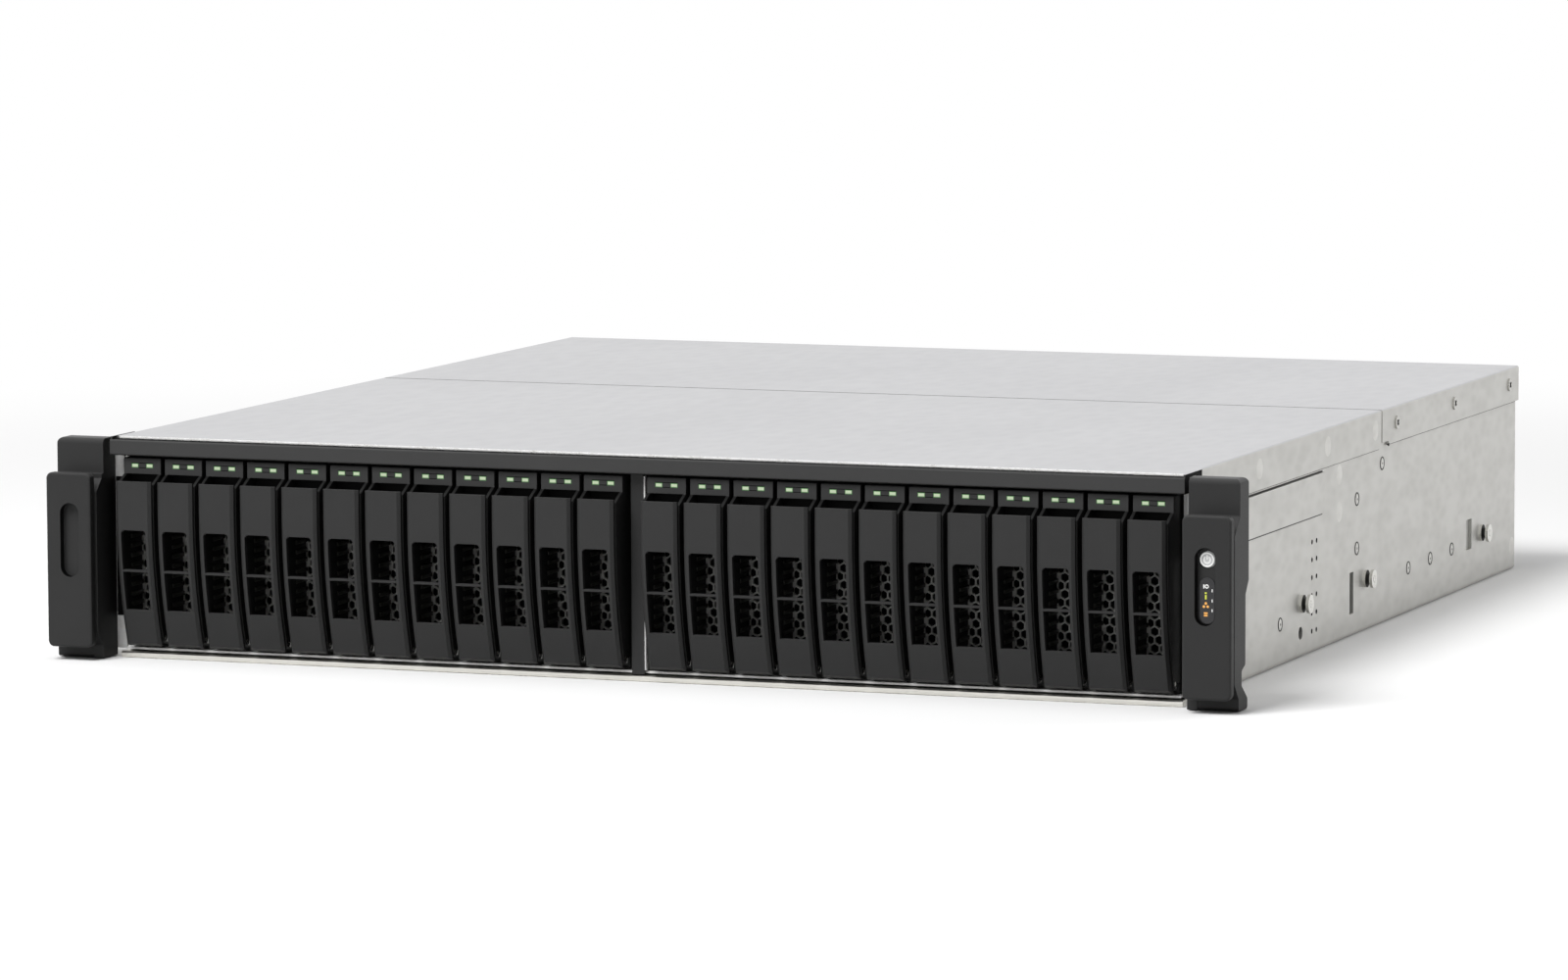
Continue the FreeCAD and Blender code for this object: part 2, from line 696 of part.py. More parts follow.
def rail_stud(y):
    """A shouldered stud on the right-hand wall that a rack rail hooks over."""
    start = V(pan_outer, y, STUD_HEIGHT)
    collar_end = start + V(STUD_COLLAR, 0, 0)
    neck_end = collar_end + V(STUD_NECK, 0, 0)
    head_end = neck_end + V(STUD_HEAD, 0, 0)
    stud = rod(STUD_COLLAR_RADIUS, start, collar_end)
    stud = stud.fuse(rod(STUD_NECK_RADIUS, collar_end, neck_end))
    return stud.fuse(rod(STUD_HEAD_RADIUS, neck_end, head_end))


def trough(x_half, y0, y1, z0, z1, radius):
    """A long box with its lower long edges rounded."""
    body = block(-x_half, x_half, y0, y1, z0, z1)
    return body.makeFillet(radius, edges_along(body, V(0, 1, 0), lambda p: p.z < z0 + FIT))


def folded_pan():
    """The pan: floor, two side walls and the hem along its front lip."""
    outer = trough(pan_outer, CAGE_FRONT, body_depth, 0, wall_top, BEND_RADIUS)
    y0 = CAGE_FRONT - PAST
    z1 = wall_top + PAST
    inner = trough(pan_inner, y0, body_depth + PAST, PAN_SHEET, z1, BEND_RADIUS - PAN_SHEET)
    reach = pan_outer + PAST
    setback = block(-reach, reach, y0, WALL_FRONT, HEM_HEIGHT, z1)
    hem = block(-pan_outer, pan_outer, 0, HEM_LENGTH, 0, HEM_HEIGHT)
    hem = hem.makeFillet(HEM_ROUND, edges_along(hem, V(1, 0, 0), lambda p: p.y < FIT))
    return outer.cut([inner, setback] + side_wall_tools()).fuse(hem).removeSplitter()


def rear_panel():
    """The plate that closes the rear of the pan, with the openings for the power supply, ports and air."""
    panel = trough(pan_inner, rear_inside, body_depth, PAN_SHEET, wall_top, BEND_RADIUS)
    return panel.cut(rear_wall_tools())


def chassis_pan():
    """The pan, its rear panel, the power supply bay welded into it, and the pressed-in rail studs."""
    bay_back = rear_inside - FIT
    bay_wall = block(bay_wall_left, bay_wall_right, supply_front, bay_back, PAN_SHEET, wall_top)
    shelf = block(bay_wall_right, pan_inner, supply_front, bay_back, shelf_bottom, shelf_top)
    bay = bay_wall.fuse(shelf)
    studs = [rail_stud(y) for y in (STUD_FIRST, STUD_SECOND, body_depth - STUD_REAR_INSET)]
    return [folded_pan(), rear_panel(), bay] + studs + [mirrored(stud) for stud in studs]


def folded_cover(y0, y1, flange_bottom):
    """A top sheet with a flange down each side, rounded along the folds."""
    cover = block(-flange_outer, flange_outer, y0, y1, flange_bottom, body_height)
    folds = edges_along(cover, V(0, 1, 0), lambda p: p.z > body_height - FIT)
    cover = cover.makeFillet(COVER_BEND, folds)
    z0 = flange_bottom - PAST
    return cover.cut(block(-flange_inner, flange_inner, y0 - PAST, y1 + PAST, z0, cover_under))


def front_top_cover():
    """The fixed cover over the drives and the fans."""
    bottom = body_height - FLANGE_DROP
    cover = folded_cover(0, cover_seam, bottom)
    reach = flange_outer + PAST
    start = [
        block(-reach, -pan_inner, -PAST, FLANGE_START, bottom - PAST, cover_under),
        block(pan_inner, reach, -PAST, FLANGE_START, bottom - PAST, cover_under),
    ]
    return [cover.cut(start)]


def cover_screw(y, side, play):
    """A cover screw with its head on the outside of the flange, or its hole."""
    z = body_height - COVER_SCREW_DROP
    inner = V(side * flange_inner, y, z)
    outer = V(side * flange_outer, y, z)
    tip = outer + V(side * COVER_SCREW_HEAD, 0, 0)
    shank = rod(COVER_SCREW_SHANK + play, inner, outer)
    return shank.fuse(rod(COVER_SCREW_RADIUS, outer, tip))


def rear_top_cover():
    """The lift-off cover over the main board, with its screws."""
    y0 = cover_seam + SEAM_GAP
    y1 = body_depth + COVER_REAR_OVERHANG
    bottom = body_height - REAR_FLANGE_DROP
    cover = folded_cover(y0, y1, bottom)
    lip = block(-pan_outer, pan_outer, y1 - COVER_SHEET, y1, body_height - REAR_LIP, cover_under)
    reach = flange_outer + PAST
    relief_end = y0 + CORNER_RELIEF_LENGTH
    relief = block(-reach, reach, y0 - PAST, relief_end, bottom - PAST, bottom + CORNER_RELIEF_HEIGHT)
    screws = []
    holes = []
    first = cover_seam + COVER_SCREW_FIRST
    pitch = (body_depth - COVER_SCREW_LAST - first) / (COVER_SCREW_COUNT - 1)
    for step in range(COVER_SCREW_COUNT):
        y = first + step * pitch
        for side in (-1, 1):
            screws.append(cover_screw(y, side, 0.0))
            holes.append(cover_screw(y, side, PIN_PLAY))
    cover = cover.fuse(lip).removeSplitter().cut([relief] + holes)
    return [cover] + screws


def front_trim():
    """The black bar under the cover's front edge, with its hooks, end clips and centre post."""
    half = flange_outer + TRIM_OVERHANG
    bottom = ceiling_bottom + TRIM_LIFT
    top = cover_under - FIT
    back = CAGE_FRONT - FIT
    bar = block(-half, half, TRIM_FRONT, back, bottom, top)
    bar = bar.makeFillet(TRIM_EDGE, edges_along(bar, V(1, 0, 0), lambda p: p.y < TRIM_FRONT + FIT))
    side = POST_WIDTH / 2
    pieces = [block(-side, side, POST_FRONT, back, floor_top + FIT, bottom + TRIM_LIFT)]
    hook_bottom = ceiling_top + FIT
    hook_pitch = 2 * cage_inner / HOOK_COUNT
    for step in range(HOOK_COUNT):
        x0 = -cage_inner + (step + 0.5) * hook_pitch - HOOK_WIDTH / 2
        hook_top = hook_bottom + HOOK_THICKNESS
        pieces.append(block(x0, x0 + HOOK_WIDTH, back, CAGE_FRONT + HOOK_LENGTH, hook_bottom, hook_top))
    clip_inner = flange_outer + FIT
    clip_front = TRIM_FRONT + TRIM_EDGE
    foot_front = CLIP_LENGTH - CLIP_FOOT
    strip_bottom = body_height - CLIP_STRIP
    for x0, x1 in ((-half, -clip_inner), (clip_inner, half)):
        pieces.append(block(x0, x1, clip_front, CLIP_LENGTH, strip_bottom, body_height))
        pieces.append(block(x0, x1, foot_front, CLIP_LENGTH, top - CLIP_HEIGHT, body_height))
    return [bar.fuse(pieces).removeSplitter()]


def ear_outline():
    """The ear's side outline, from the top of its front face round to the top of its rear."""
    return [
        (EAR_HEAD_FRONT, ear_top),
        (EAR_HEAD_FRONT, ear_step),
        (EAR_FRONT, ear_step - EAR_SHOULDER),
        (EAR_FRONT, EAR_BOTTOM + EAR_FOOT_HEIGHT + EAR_FOOT_SLOPE),
        (EAR_FOOT_FRONT, EAR_BOTTOM + EAR_FOOT_HEIGHT),
        (EAR_FOOT_FRONT, EAR_BOTTOM),
        (EAR_FOOT_REAR, EAR_BOTTOM),
        (EAR_FOOT_REAR, EAR_FOOT_REAR_TOP),
        (EAR_NICK_REAR, EAR_NICK_BOTTOM),
        (EAR_NICK_REAR, EAR_NICK_TOP),
        (EAR_WAIST_REAR, EAR_NICK_TOP + EAR_NICK_SLOPE),
        (EAR_WAIST_REAR, EAR_WAIST_TOP),
        (EAR_REAR, EAR_WAIST_TOP + EAR_WAIST_SLOPE),
        (EAR_REAR, ear_top),
        (EAR_HEAD_FRONT, ear_top),
    ]


def ear_body():
    """The moulded right ear behind its cap."""
    body = prism_x(lines_yz(ear_outline()), ear_inner, ear_outer)
    body = body.makeFillet(EAR_ROUND, edges_along(body, V(1, 0, 0), lambda p: p.z < ear_top - FIT))
    across = edges_along(body, V(1, 0, 0), lambda p: p.z > ear_top - FIT)
    outer = edges_along(body, V(0, 1, 0), lambda p: p.z > ear_top - FIT and p.x > ear_outer - FIT)
    body = body.makeFillet(EAR_CROWN, across + outer)
    web_end = ear_inner + EAR_WEB
    web = block(ear_inner, web_end, EAR_NICK_REAR - EAR_WEB, EAR_REAR, EAR_BOTTOM, ear_step)
    return body.fuse(web).removeSplitter()


def ear_cap():
    """The proud front cap of the right ear, without its slot."""
    x0 = ear_inner + CAP_INSET
    x1 = ear_outer - CAP_OUTER_INSET
    cap = block(x0, x1, CAP_FRONT, EAR_FRONT, CAP_BOTTOM, cap_top)
    corners = edges_along(cap, V(0, 1, 0), lambda p: True)
    cap = cap.makeFillet(CAP_CORNER, corners)
    front = [edge for edge in cap.Edges if all(v.Y < CAP_FRONT + FIT for v in edge.Vertexes)]
    cap = cap.makeFillet(CAP_EDGE, front)
    back = [edge for edge in cap.Edges if all(v.Y > EAR_FRONT - FIT for v in edge.Vertexes)]
    return cap.makeFillet(CAP_GROOVE, back)


def ear_slot(y1, play):
    """The upright round-ended slot of the right ear's cap, from its front to a depth."""
    x = ear_outer - EAR_SLOT_CENTRE
    width = EAR_SLOT_WIDTH - 2 * play
    return stadium(x, width, EAR_SLOT_BOTTOM + play, EAR_SLOT_TOP - play, CAP_FRONT - PAST, y1)


def ear_bracket():
    """The steel angle that carries the right ear: a flange behind it and an arm on the wall."""
    flange_front = EAR_REAR + FIT
    flange_back = flange_front + BRACKET_SHEET
    flange_top = cover_under - FIT - CLIP_HEIGHT - RUN
    flange_end = flange_inner + BRACKET_FLANGE_WIDTH
    flange = block(flange_inner, flange_end, flange_front, flange_back, BRACKET_BOTTOM, flange_top)
    arm = block(flange_inner, flange_outer, flange_front, ARM_END, ARM_BOTTOM, ARM_BOTTOM + ARM_HEIGHT)
    return flange.fuse(arm).removeSplitter()


def button_bar(radius, start, end):
    """A round bar along Y at the power button's place."""
    x = ear_outer - EAR_SLOT_CENTRE
    z = EAR_SLOT_TOP - BUTTON_DROP
    return rod(radius, V(x, start, z), V(x, end, z))


def left_ear():
    """The left ear: its slot is a blind recess."""
    recess = ear_slot(CAP_FRONT + EAR_SLOT_DEPTH, 0.0)
    return [mirrored(shape) for shape in (ear_body(), ear_cap().cut(recess), ear_bracket())]


def right_ear():
    """The right ear: its slot holds the status window and the power button."""
    window_front = CAP_FRONT + EAR_SLOT_DEPTH
    window = ear_slot(EAR_FRONT, FIT)
    window = window.cut(block(ear_inner, ear_outer, CAP_FRONT - 2 * PAST, window_front, EAR_BOTTOM, ear_top))
    button_back = BUTTON_FRONT + BUTTON_LENGTH
    well = button_bar(BUTTON_RADIUS + RUN, CAP_FRONT, button_back + BUTTON_TRAVEL + RUN)
    cap = ear_cap().cut(ear_slot(EAR_FRONT + PAST, 0.0))
    return [ear_body().cut(well), cap, window.cut(well), ear_bracket()]


def power_button():
    """The round push button, with a rounded front edge."""
    button = button_bar(BUTTON_RADIUS, BUTTON_FRONT, BUTTON_FRONT + BUTTON_LENGTH)
    front = [edge for edge in button.Edges if all(v.Y < BUTTON_FRONT + FIT for v in edge.Vertexes)]
    front = [edge for edge in front if edge.Length > BUTTON_RADIUS]
    return [button.makeFillet(BUTTON_EDGE, front)]


def drive_backplane():
    """The board behind the drives, with a socket and an air slot for each bay."""
    half = cage_outer - BACKPLANE_MARGIN
    z0 = floor_bottom + BACKPLANE_MARGIN
    z1 = ceiling_top - BACKPLANE_MARGIN
    board = block(-half, half, backplane_front, backplane_back, z0, z1)
    vents = []
    sockets = []
    vent_top = z1 - VENT_DROP
    vent_bottom = vent_top - VENT_HEIGHT
    socket_bottom = drive_bottom + SOCKET_LIFT
    socket_top = socket_bottom + SOCKET_HEIGHT
    socket_front = drive_back + MATE_GAP
    y0 = backplane_front - PAST
    y1 = backplane_back + PAST
    for x in bay_centres():
        left = x - VENT_WIDTH / 2
        vents.append(block(left, left + VENT_WIDTH, y0, y1, vent_bottom, vent_top))
        left = x - SOCKET_WIDTH / 2
        right = left + SOCKET_WIDTH
        sockets.append(block(left, right, socket_front, backplane_front, socket_bottom, socket_top))
    return [board.cut(vents)] + sockets


def fan_parts(x, size):
    """One fan: its square frame with a spider, and its rotor."""
    z = PAN_SHEET + FAN_CLEAR + size / 2
    half = size / 2
    bore = half - FAN_RIM
    frame = block(x - half, x + half, fan_front, fan_back, z - half, z + half)
    frame = frame.cut(rod(bore, V(x, fan_front - PAST, z), V(x, fan_back + PAST, z)))
    spider_front = fan_back - FAN_SPIDER
    pieces = [rod(FAN_HUB_RADIUS, V(x, spider_front, z), V(x, fan_back, z))]
    thick = FAN_SPIDER / 2
    for step in range(FAN_STRUTS):
        strut = block(x, x + bore + FAN_RIM / 2, spider_front, fan_back, z - thick, z + thick)
        strut.rotate(V(x, 0, z), V(0, 1, 0), (step + 0.5) * FULL_TURN / FAN_STRUTS)
        pieces.append(strut)
    hub_front = fan_front + FAN_SPIDER
    hub_back = spider_front - RUN
    rotor = rod(FAN_HUB_RADIUS, V(x, hub_front, z), V(x, hub_back, z))
    blades = []
    middle = (hub_front + hub_back) / 2
    tip = bore - FAN_TIP_GAP
    for step in range(FAN_BLADES):
        blades.append(fan_blade(x, middle, z, tip, step))
    ring = rod(tip, V(x, hub_front, z), V(x, hub_back, z))
    blades = [blade.common(ring) for blade in blades]
    return [frame.fuse(pieces).removeSplitter(), rotor.fuse(blades).removeSplitter()]


def fan_blade(x, y, z, tip, step):
    """One flat blade, pitched about its own length and turned to its place on the hub."""
    chord = FAN_BLADE_CHORD / 2
    thick = FAN_BLADE_THICKNESS / 2
    root = FAN_HUB_RADIUS / 2
    blade = block(x + root, x + tip + PAST, y - chord, y + chord, z - thick, z + thick)
    blade.rotate(V(x, y, z), V(1, 0, 0), FAN_BLADE_PITCH)
    blade.rotate(V(x, y, z), V(0, 1, 0), step * FULL_TURN / FAN_BLADES)
    return blade


def fan_wall():
    """The bulkhead across the chassis and the fans that it carries."""
    size = cover_under - PAN_SHEET - 2 * FAN_CLEAR
    pitch = 2 * pan_inner / FAN_COUNT
    z = PAN_SHEET + FAN_CLEAR + size / 2
    side = pan_inner - FIT
    sheet = block(-side, side, bulkhead_front, bulkhead_back, PAN_SHEET + FIT, cover_under - FIT)
    low = edges_along(sheet, V(0, 1, 0), lambda p: p.z < PAN_SHEET + 2 * FIT)
    sheet = sheet.makeFillet(BEND_RADIUS, low)
    fans = []
    holes = []
    for step in range(FAN_COUNT):
        x = -pan_inner + (step + 0.5) * pitch
        fans += fan_parts(x, size)
        holes.append(rod(size / 2 - FAN_RIM, V(x, fan_back, z), V(x, bulkhead_back + PAST, z)))
    return [sheet.cut(holes)] + fans


def port_places():
    """Each rear port as its left edge, width, height and depth: two jacks, two cages, one bus socket."""
    kinds = [
        (JACK_WIDTH, JACK_HEIGHT, JACK_DEPTH),
        (JACK_WIDTH, JACK_HEIGHT, JACK_DEPTH),
        (SFP_WIDTH, SFP_HEIGHT, SFP_DEPTH),
        (SFP_WIDTH, SFP_HEIGHT, SFP_DEPTH),
        (USB_WIDTH, USB_HEIGHT, USB_DEPTH),
    ]
    places = []
    left = board_left + PORT_INSET
    for width, height, depth in kinds:
        places.append((left, width, height, depth))
        left += width + PORT_GAP
    return places


def rear_ports():
    """The port shells on the rear edge of the main board, flush with the rear wall."""
    shells = []
    for left, width, height, depth in port_places():
        top = board_top + height
        front = body_depth - depth
        shell = block(left, left + width, front, body_depth, board_top, top)
        x0 = left + PORT_WALL
        x1 = left + width - PORT_WALL
        hollow = block(x0, x1, front + PORT_FLOOR, body_depth + PAST, board_top + PORT_WALL, top - PORT_WALL)
        shells.append(shell.cut(hollow))
    return shells


def heat_sink():
    """The processor's finned block."""
    half = SINK_SIZE / 2
    y0 = board_front + SINK_SETBACK
    y1 = y0 + SINK_SIZE
    x0 = SINK_CENTRE_X - half
    base_top = board_top + SINK_BASE
    sink = block(x0, x0 + SINK_SIZE, y0, y1, board_top, base_top)
    pitch = (SINK_SIZE - SINK_FIN) / (SINK_FINS - 1)
    fins = []
    for step in range(SINK_FINS):
        left = x0 + step * pitch
        fins.append(block(left, left + SINK_FIN, y0, y1, base_top, board_top + SINK_HEIGHT))
    return sink.fuse(fins).removeSplitter()


def memory_modules():
    """The memory sockets on both sides of the heat sink, each with its module."""
    pieces = []
    y0 = board_front + MEMORY_SETBACK
    y1 = y0 + MEMORY_LENGTH
    first = SINK_SIZE / 2 + MEMORY_GAP
    for side in (-1, 1):
        for step in range(MEMORY_PER_SIDE):
            x = SINK_CENTRE_X + side * (first + step * MEMORY_PITCH)
            half = MEMORY_SOCKET_WIDTH / 2
            socket_top = board_top + MEMORY_SOCKET_HEIGHT
            pieces.append(block(x - half, x + half, y0 - half, y1 + half, board_top, socket_top))
            thick = MEMORY_THICKNESS / 2
            pieces.append(block(x - thick, x + thick, y0, y1, socket_top, board_top + MEMORY_HEIGHT))
    return pieces


def board_standoffs():
    """The pillars under the main board, three rows of three."""
    xs = (board_left + STANDOFF_INSET, (board_left + board_right) / 2, board_right - STANDOFF_INSET)
    ys = (board_front + STANDOFF_INSET, (board_front + board_back) / 2, board_back - STANDOFF_INSET)
    return [rod(STANDOFF_RADIUS, V(x, y, PAN_SHEET), V(x, y, board_bottom)) for x in xs for y in ys]


def main_board():
    """The main board on its pillars, with heat sinks, memory and rear ports."""
    board = block(board_left, board_right, board_front, board_back, board_bottom, board_top)
    memory_end = SINK_SIZE / 2 + MEMORY_GAP + MEMORY_PER_SIDE * MEMORY_PITCH
    x0 = SINK_CENTRE_X + memory_end + CHIP_SINK_GAP
    y0 = board_front + SINK_SETBACK
    chip_top = board_top + CHIP_SINK_HEIGHT
    chip_sink = block(x0, x0 + CHIP_SINK_SIZE, y0, y0 + CHIP_SINK_SIZE, board_top, chip_top)
    return [board, heat_sink(), chip_sink] + memory_modules() + board_standoffs() + rear_ports()


def supply_handle():
    """The pull handle: a D-shaped loop on the rear of the power supply."""
    x0 = supply_left + HANDLE_INSET
    x1 = x0 + HANDLE_WIDTH
    middle = (supply_bottom + supply_top) / 2
    z0 = middle - HANDLE_HEIGHT / 2
    z1 = middle + HANDLE_HEIGHT / 2
    handle = block(x0, x1, supply_back, handle_back, z0, z1)
    corners = edges_along(handle, V(1, 0, 0), lambda p: p.y > handle_back - FIT)
    handle = handle.makeFillet(HANDLE_BAR, corners)
    y0 = supply_back - PAST
    y1 = handle_back - HANDLE_BAR
    return handle.cut(block(x0 - PAST, x1 + PAST, y0, y1, z0 + HANDLE_BAR, z1 - HANDLE_BAR))


def inlet_block(wall):
    """The mains inlet of the power supply, or its hollow inside a wall."""
    middle = (supply_bottom + supply_top) / 2
    half = INLET_HEIGHT / 2 - wall
    x1 = supply_right - INLET_INSET - wall
    x0 = supply_right - INLET_INSET - INLET_WIDTH + wall
    y0 = supply_back - INLET_DEPTH + wall
    y1 = supply_back + INLET_REACH + wall
    return block(x0, x1, y0, y1, middle - half, middle + half)


def power_supply():
    """The slide-out supply: case, pull handle, latch tab, mains inlet and edge connector."""
    case = block(supply_left, supply_right, supply_front, supply_back, supply_bottom, supply_top)
    case = case.makeFillet(SUPPLY_EDGE, edges_along(case, V(0, 1, 0), lambda p: True))
    middle = (supply_bottom + supply_top) / 2
    inlet = inlet_block(0.0)
    hollow = inlet_block(INLET_WALL)
    half = LATCH_HEIGHT / 2
    x0 = supply_left + LATCH_INSET
    x1 = x0 + LATCH_WIDTH
    latch = block(x0, x1, supply_back, supply_back + LATCH_REACH, middle - half, middle + half)
    half = BOARD_THICKNESS / 2
    x0 = (supply_left + supply_right - EDGE_WIDTH) / 2
    x1 = x0 + EDGE_WIDTH
    edge = block(x0, x1, supply_front - EDGE_LENGTH, supply_front, middle - half, middle + half)
    return [case.cut(inlet), supply_handle(), latch, inlet.cut(hollow), edge]


def main():
    os.makedirs("parts", exist_ok=True)
    write("chassis_pan", chassis_pan())
    write("drive_cage", drive_cage())
    write("front_top_cover", front_top_cover())
    write("rear_top_cover", rear_top_cover())
    write("front_trim", front_trim())
    write("left_ear", left_ear())
    write("right_ear", right_ear())
    write("power_button", power_button())
    write("drive_backplane", drive_backplane())
    write("fan_wall", fan_wall())
    write("main_board", main_board())
    write("power_supply", power_supply())
    tray = Part.makeCompound(tray_solids())
    lever = tray_lever()
    for number, x in enumerate(bay_centres(), start=1):
        write("drive_tray_%02d" % number, tray.translated(V(x, 0, 0)).Solids)
        write("tray_lever_%02d" % number, lever.translated(V(x, 0, 0)).Solids)


main()
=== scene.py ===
import math

import bmesh
import bpy
from mathutils import Matrix, Vector


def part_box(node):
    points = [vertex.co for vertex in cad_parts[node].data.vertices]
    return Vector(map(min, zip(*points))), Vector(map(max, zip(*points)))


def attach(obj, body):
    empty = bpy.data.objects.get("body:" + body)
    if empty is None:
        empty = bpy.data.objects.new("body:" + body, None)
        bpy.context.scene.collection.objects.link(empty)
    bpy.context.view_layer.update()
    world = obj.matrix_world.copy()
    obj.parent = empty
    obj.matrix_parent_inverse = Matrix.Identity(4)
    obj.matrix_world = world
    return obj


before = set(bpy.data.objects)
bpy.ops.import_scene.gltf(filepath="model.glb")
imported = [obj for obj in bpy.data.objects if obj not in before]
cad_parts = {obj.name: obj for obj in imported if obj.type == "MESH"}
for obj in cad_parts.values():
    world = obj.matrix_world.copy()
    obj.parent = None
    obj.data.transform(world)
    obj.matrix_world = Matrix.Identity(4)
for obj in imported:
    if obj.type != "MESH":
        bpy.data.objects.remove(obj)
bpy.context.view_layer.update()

# Units: the pieces are modelled in millimetres and scaled to metres when they are finished
MM = 0.001
SMOOTH_ANGLE = math.radians(32)
MERGE_DISTANCE = 0.0004
ROUND_STEPS = 28

# Directions, and from where on a face counts as looking or leaning that way
SIDES = (-1, 1)
RIGHTWARD = (1, 0, 0)
FORWARD = (0, -1, 0)
BACKWARD = (0, 1, 0)
UPWARD = (0, 0, 1)
DOWNWARD = (0, 0, -1)
FACING = 0.9
LEANING = 0.5

# Slacks of the tests that choose a node's faces, and of pieces sunk into what carries them
SLACK = 0.05
HAIR = 0.01


def span(node):
    """A node's lowest and highest corners in millimetres."""
    low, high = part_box(node)
    return low / MM, high / MM


# Sizes read from the frame
pan_low, pan_high = span("chassis_pan")
tray_low, tray_high = span("drive_tray_01")
button_low, button_high = span("power_button")
cover_low, cover_high = span("rear_top_cover")
supply_low, supply_high = span("power_supply")
LEVER_FRONT = span("tray_lever_01")[0].y
FRONT_COVER_SIDE = span("front_top_cover")[1].x
BOARD_FRONT = span("main_board")[0].y
CAGE_BACK = span("drive_cage")[1].y
FAN_WALL_BACK = span("fan_wall")[1].y
EAR_FRONT = span("right_ear")[0].y
LIP = pan_low.y
REAR_WALL = pan_high.y

# Trays: places along the depth, then heights and widths
TRAY_NUMBERS = range(1, 25)
HEAD_FRONT = LIP - 1.7
HEAD_BACK = LIP + 2.0
LIGHT_BACK = LIP + 7.4
GRILL_FRONT = LIP + 11.0
BEZEL_BACK = LIP + 12.2
DRIVE_FRONT = LIP + 15.2
DRIVE_BACK = LIP + 115.4
DRIVE_SCREWS = (LIP + 29.2, LIP + 105.8)
PIVOT_PLACE = LEVER_FRONT + 11.318
PIVOT_LEVEL = tray_low.z + 4.3
PIN_RADIUS = 0.93
HEAD_BOTTOM = tray_high.z - 6.25
RUNNER_TOP = tray_low.z + 2.25
RUNNER_BOTTOM = tray_high.z - 2.25
DRIVE_HALF = 7.4
CHEEK = 1.2
CHEEK_INSIDE = 6.74
LIGHT_LEVEL = tray_high.z - 3.0
LIGHT_OFFSET = 3.1
LIGHT_HALF_WIDTH = 1.45
LIGHT_HALF_HEIGHT = 0.85

# Side walls, ears, trim and covers
HEM_BACK = LIP + 8.2
HEM_TOP = 2.6
CAGE_EDGE = LIP + 12.0
CAGE_CEILING = 70.0
COVER_EDGE = LIP + 1.0
SEAM_BACK = LIP + 255.4
WALL_OUT = 217.45
WALL_IN = 216.25
FLANGE_OUT = 218.55
HOLES_START = LIP + 20.0
HOLES_LOW = 4.0
HOLES_HIGH = 80.0
HOLE_PLACE = LIP + 148.3
HOLE_HEIGHT = 9.8
HOLE_RADIUS = 2.5
HOLE_LIT = 0.2
STUD_COLLAR = 1.0
STUD_REACH = 3.9
STUD_HEAD_START = STUD_REACH - 1.2
EAR_BACK = LIP + 5.15
BRACKET_FACE = EAR_BACK + 0.15
EAR_WELL_BACK = EAR_FRONT + 7.0
EAR_WELL_HALF = 4.1
EAR_WELL_BOTTOM = 32.5
EAR_WELL_TOP = 62.0
TRIM_BACK = LIP + 1.95
TRIM_LEDGE = 85.0
POST_FRONT = LIP + 0.6
POST_HALF = 2.6
POST_BOTTOM = 4.1
POST_TOP = 78.6

# The slot and the window of each side wall: middle along the depth, half width, bottom and top
WALL_SLOT = (LIP + 217.0, 2.5, 9.2, 25.8)
WALL_WINDOW = (LIP + 387.3, 4.2, 16.2, 28.8)

# Main board, fan wall and power supply
BOARD_TOP = 8.8
BOARD_BOTTOM = 7.15
BOARD_BACK = BOARD_FRONT + 216.0
BULKHEAD = 1.2
SINK_X = -40.0
SINK_HALF = 42.1
CHIP_SINK_LEFT = 60.0
SINKS_BACK = REAR_WALL - 60.0
PORTS_FRONT = REAR_WALL - 48.0
MEMORY_FIRST = 56.0
MEMORY_PITCH = 9.5
MEMORY_PER_SIDE = 4
MEMORY_MIDDLE = MEMORY_FIRST + MEMORY_PITCH * (MEMORY_PER_SIDE - 1) / 2
MEMORY_HALF = 16.0
MEMORY_BOTTOM = 17.85
MEMORY_TOP = 39.9
MEMORY_START = BOARD_FRONT + 18.0
MEMORY_LENGTH = 133.0
SUPPLY_FACE = REAR_WALL + 1.0
SUPPLY_EDGE = supply_low.y + 10.0
LATCH_SIDE = supply_low.x + 20.0
HANDLE_SIDE = supply_high.x - 30.5
INLET_LEFT = supply_high.x - 30.1
INLET_RIGHT = supply_high.x - 1.9
INLET_DEEP = REAR_WALL - 17.1
INLET_BOTTOM = 10.9
INLET_TOP = 32.1

# The view, measured from the photograph's edges
IMAGE_WIDTH = 1600
FOCAL_PIXELS = 7628.5
SENSOR_WIDTH = 36.0
CAMERA_PLACE = Vector((1062.0, LIP - 2610.5, 379.2))
CAMERA_AZIMUTH = math.radians(-21.0)
CAMERA_DOWN = math.radians(6.2)
CAMERA_ROLL = math.radians(-0.23)


# Shader helpers
def colour(code):
    """A linear colour from an sRGB hex value."""
    parts = [int(code[i:i + 2], 16) / 255 for i in (1, 3, 5)]
    linear = [c / 12.92 if c <= 0.04045 else ((c + 0.055) / 1.055) ** 2.4 for c in parts]
    return (*linear, 1.0)


def add(tree, kind, settings, sockets):
    """Add one shader node with its settings, and set or link its sockets."""
    node = tree.nodes.new(kind)
    for key, value in settings.items():
        setattr(node, key, value)
    for key, value in sockets.items():
        if isinstance(value, bpy.types.NodeSocket):
            tree.links.new(value, node.inputs[key])
        else:
            node.inputs[key].default_value = value
    return node


def start(name):
    """A new material with an empty tree, and the coordinates that its patterns read."""
    material = bpy.data.materials.new(name)
    material.use_nodes = True
    tree = material.node_tree
    tree.nodes.clear()
    place = add(tree, "ShaderNodeTexCoord", {}, {}).outputs["Object"]
    return material, tree, place


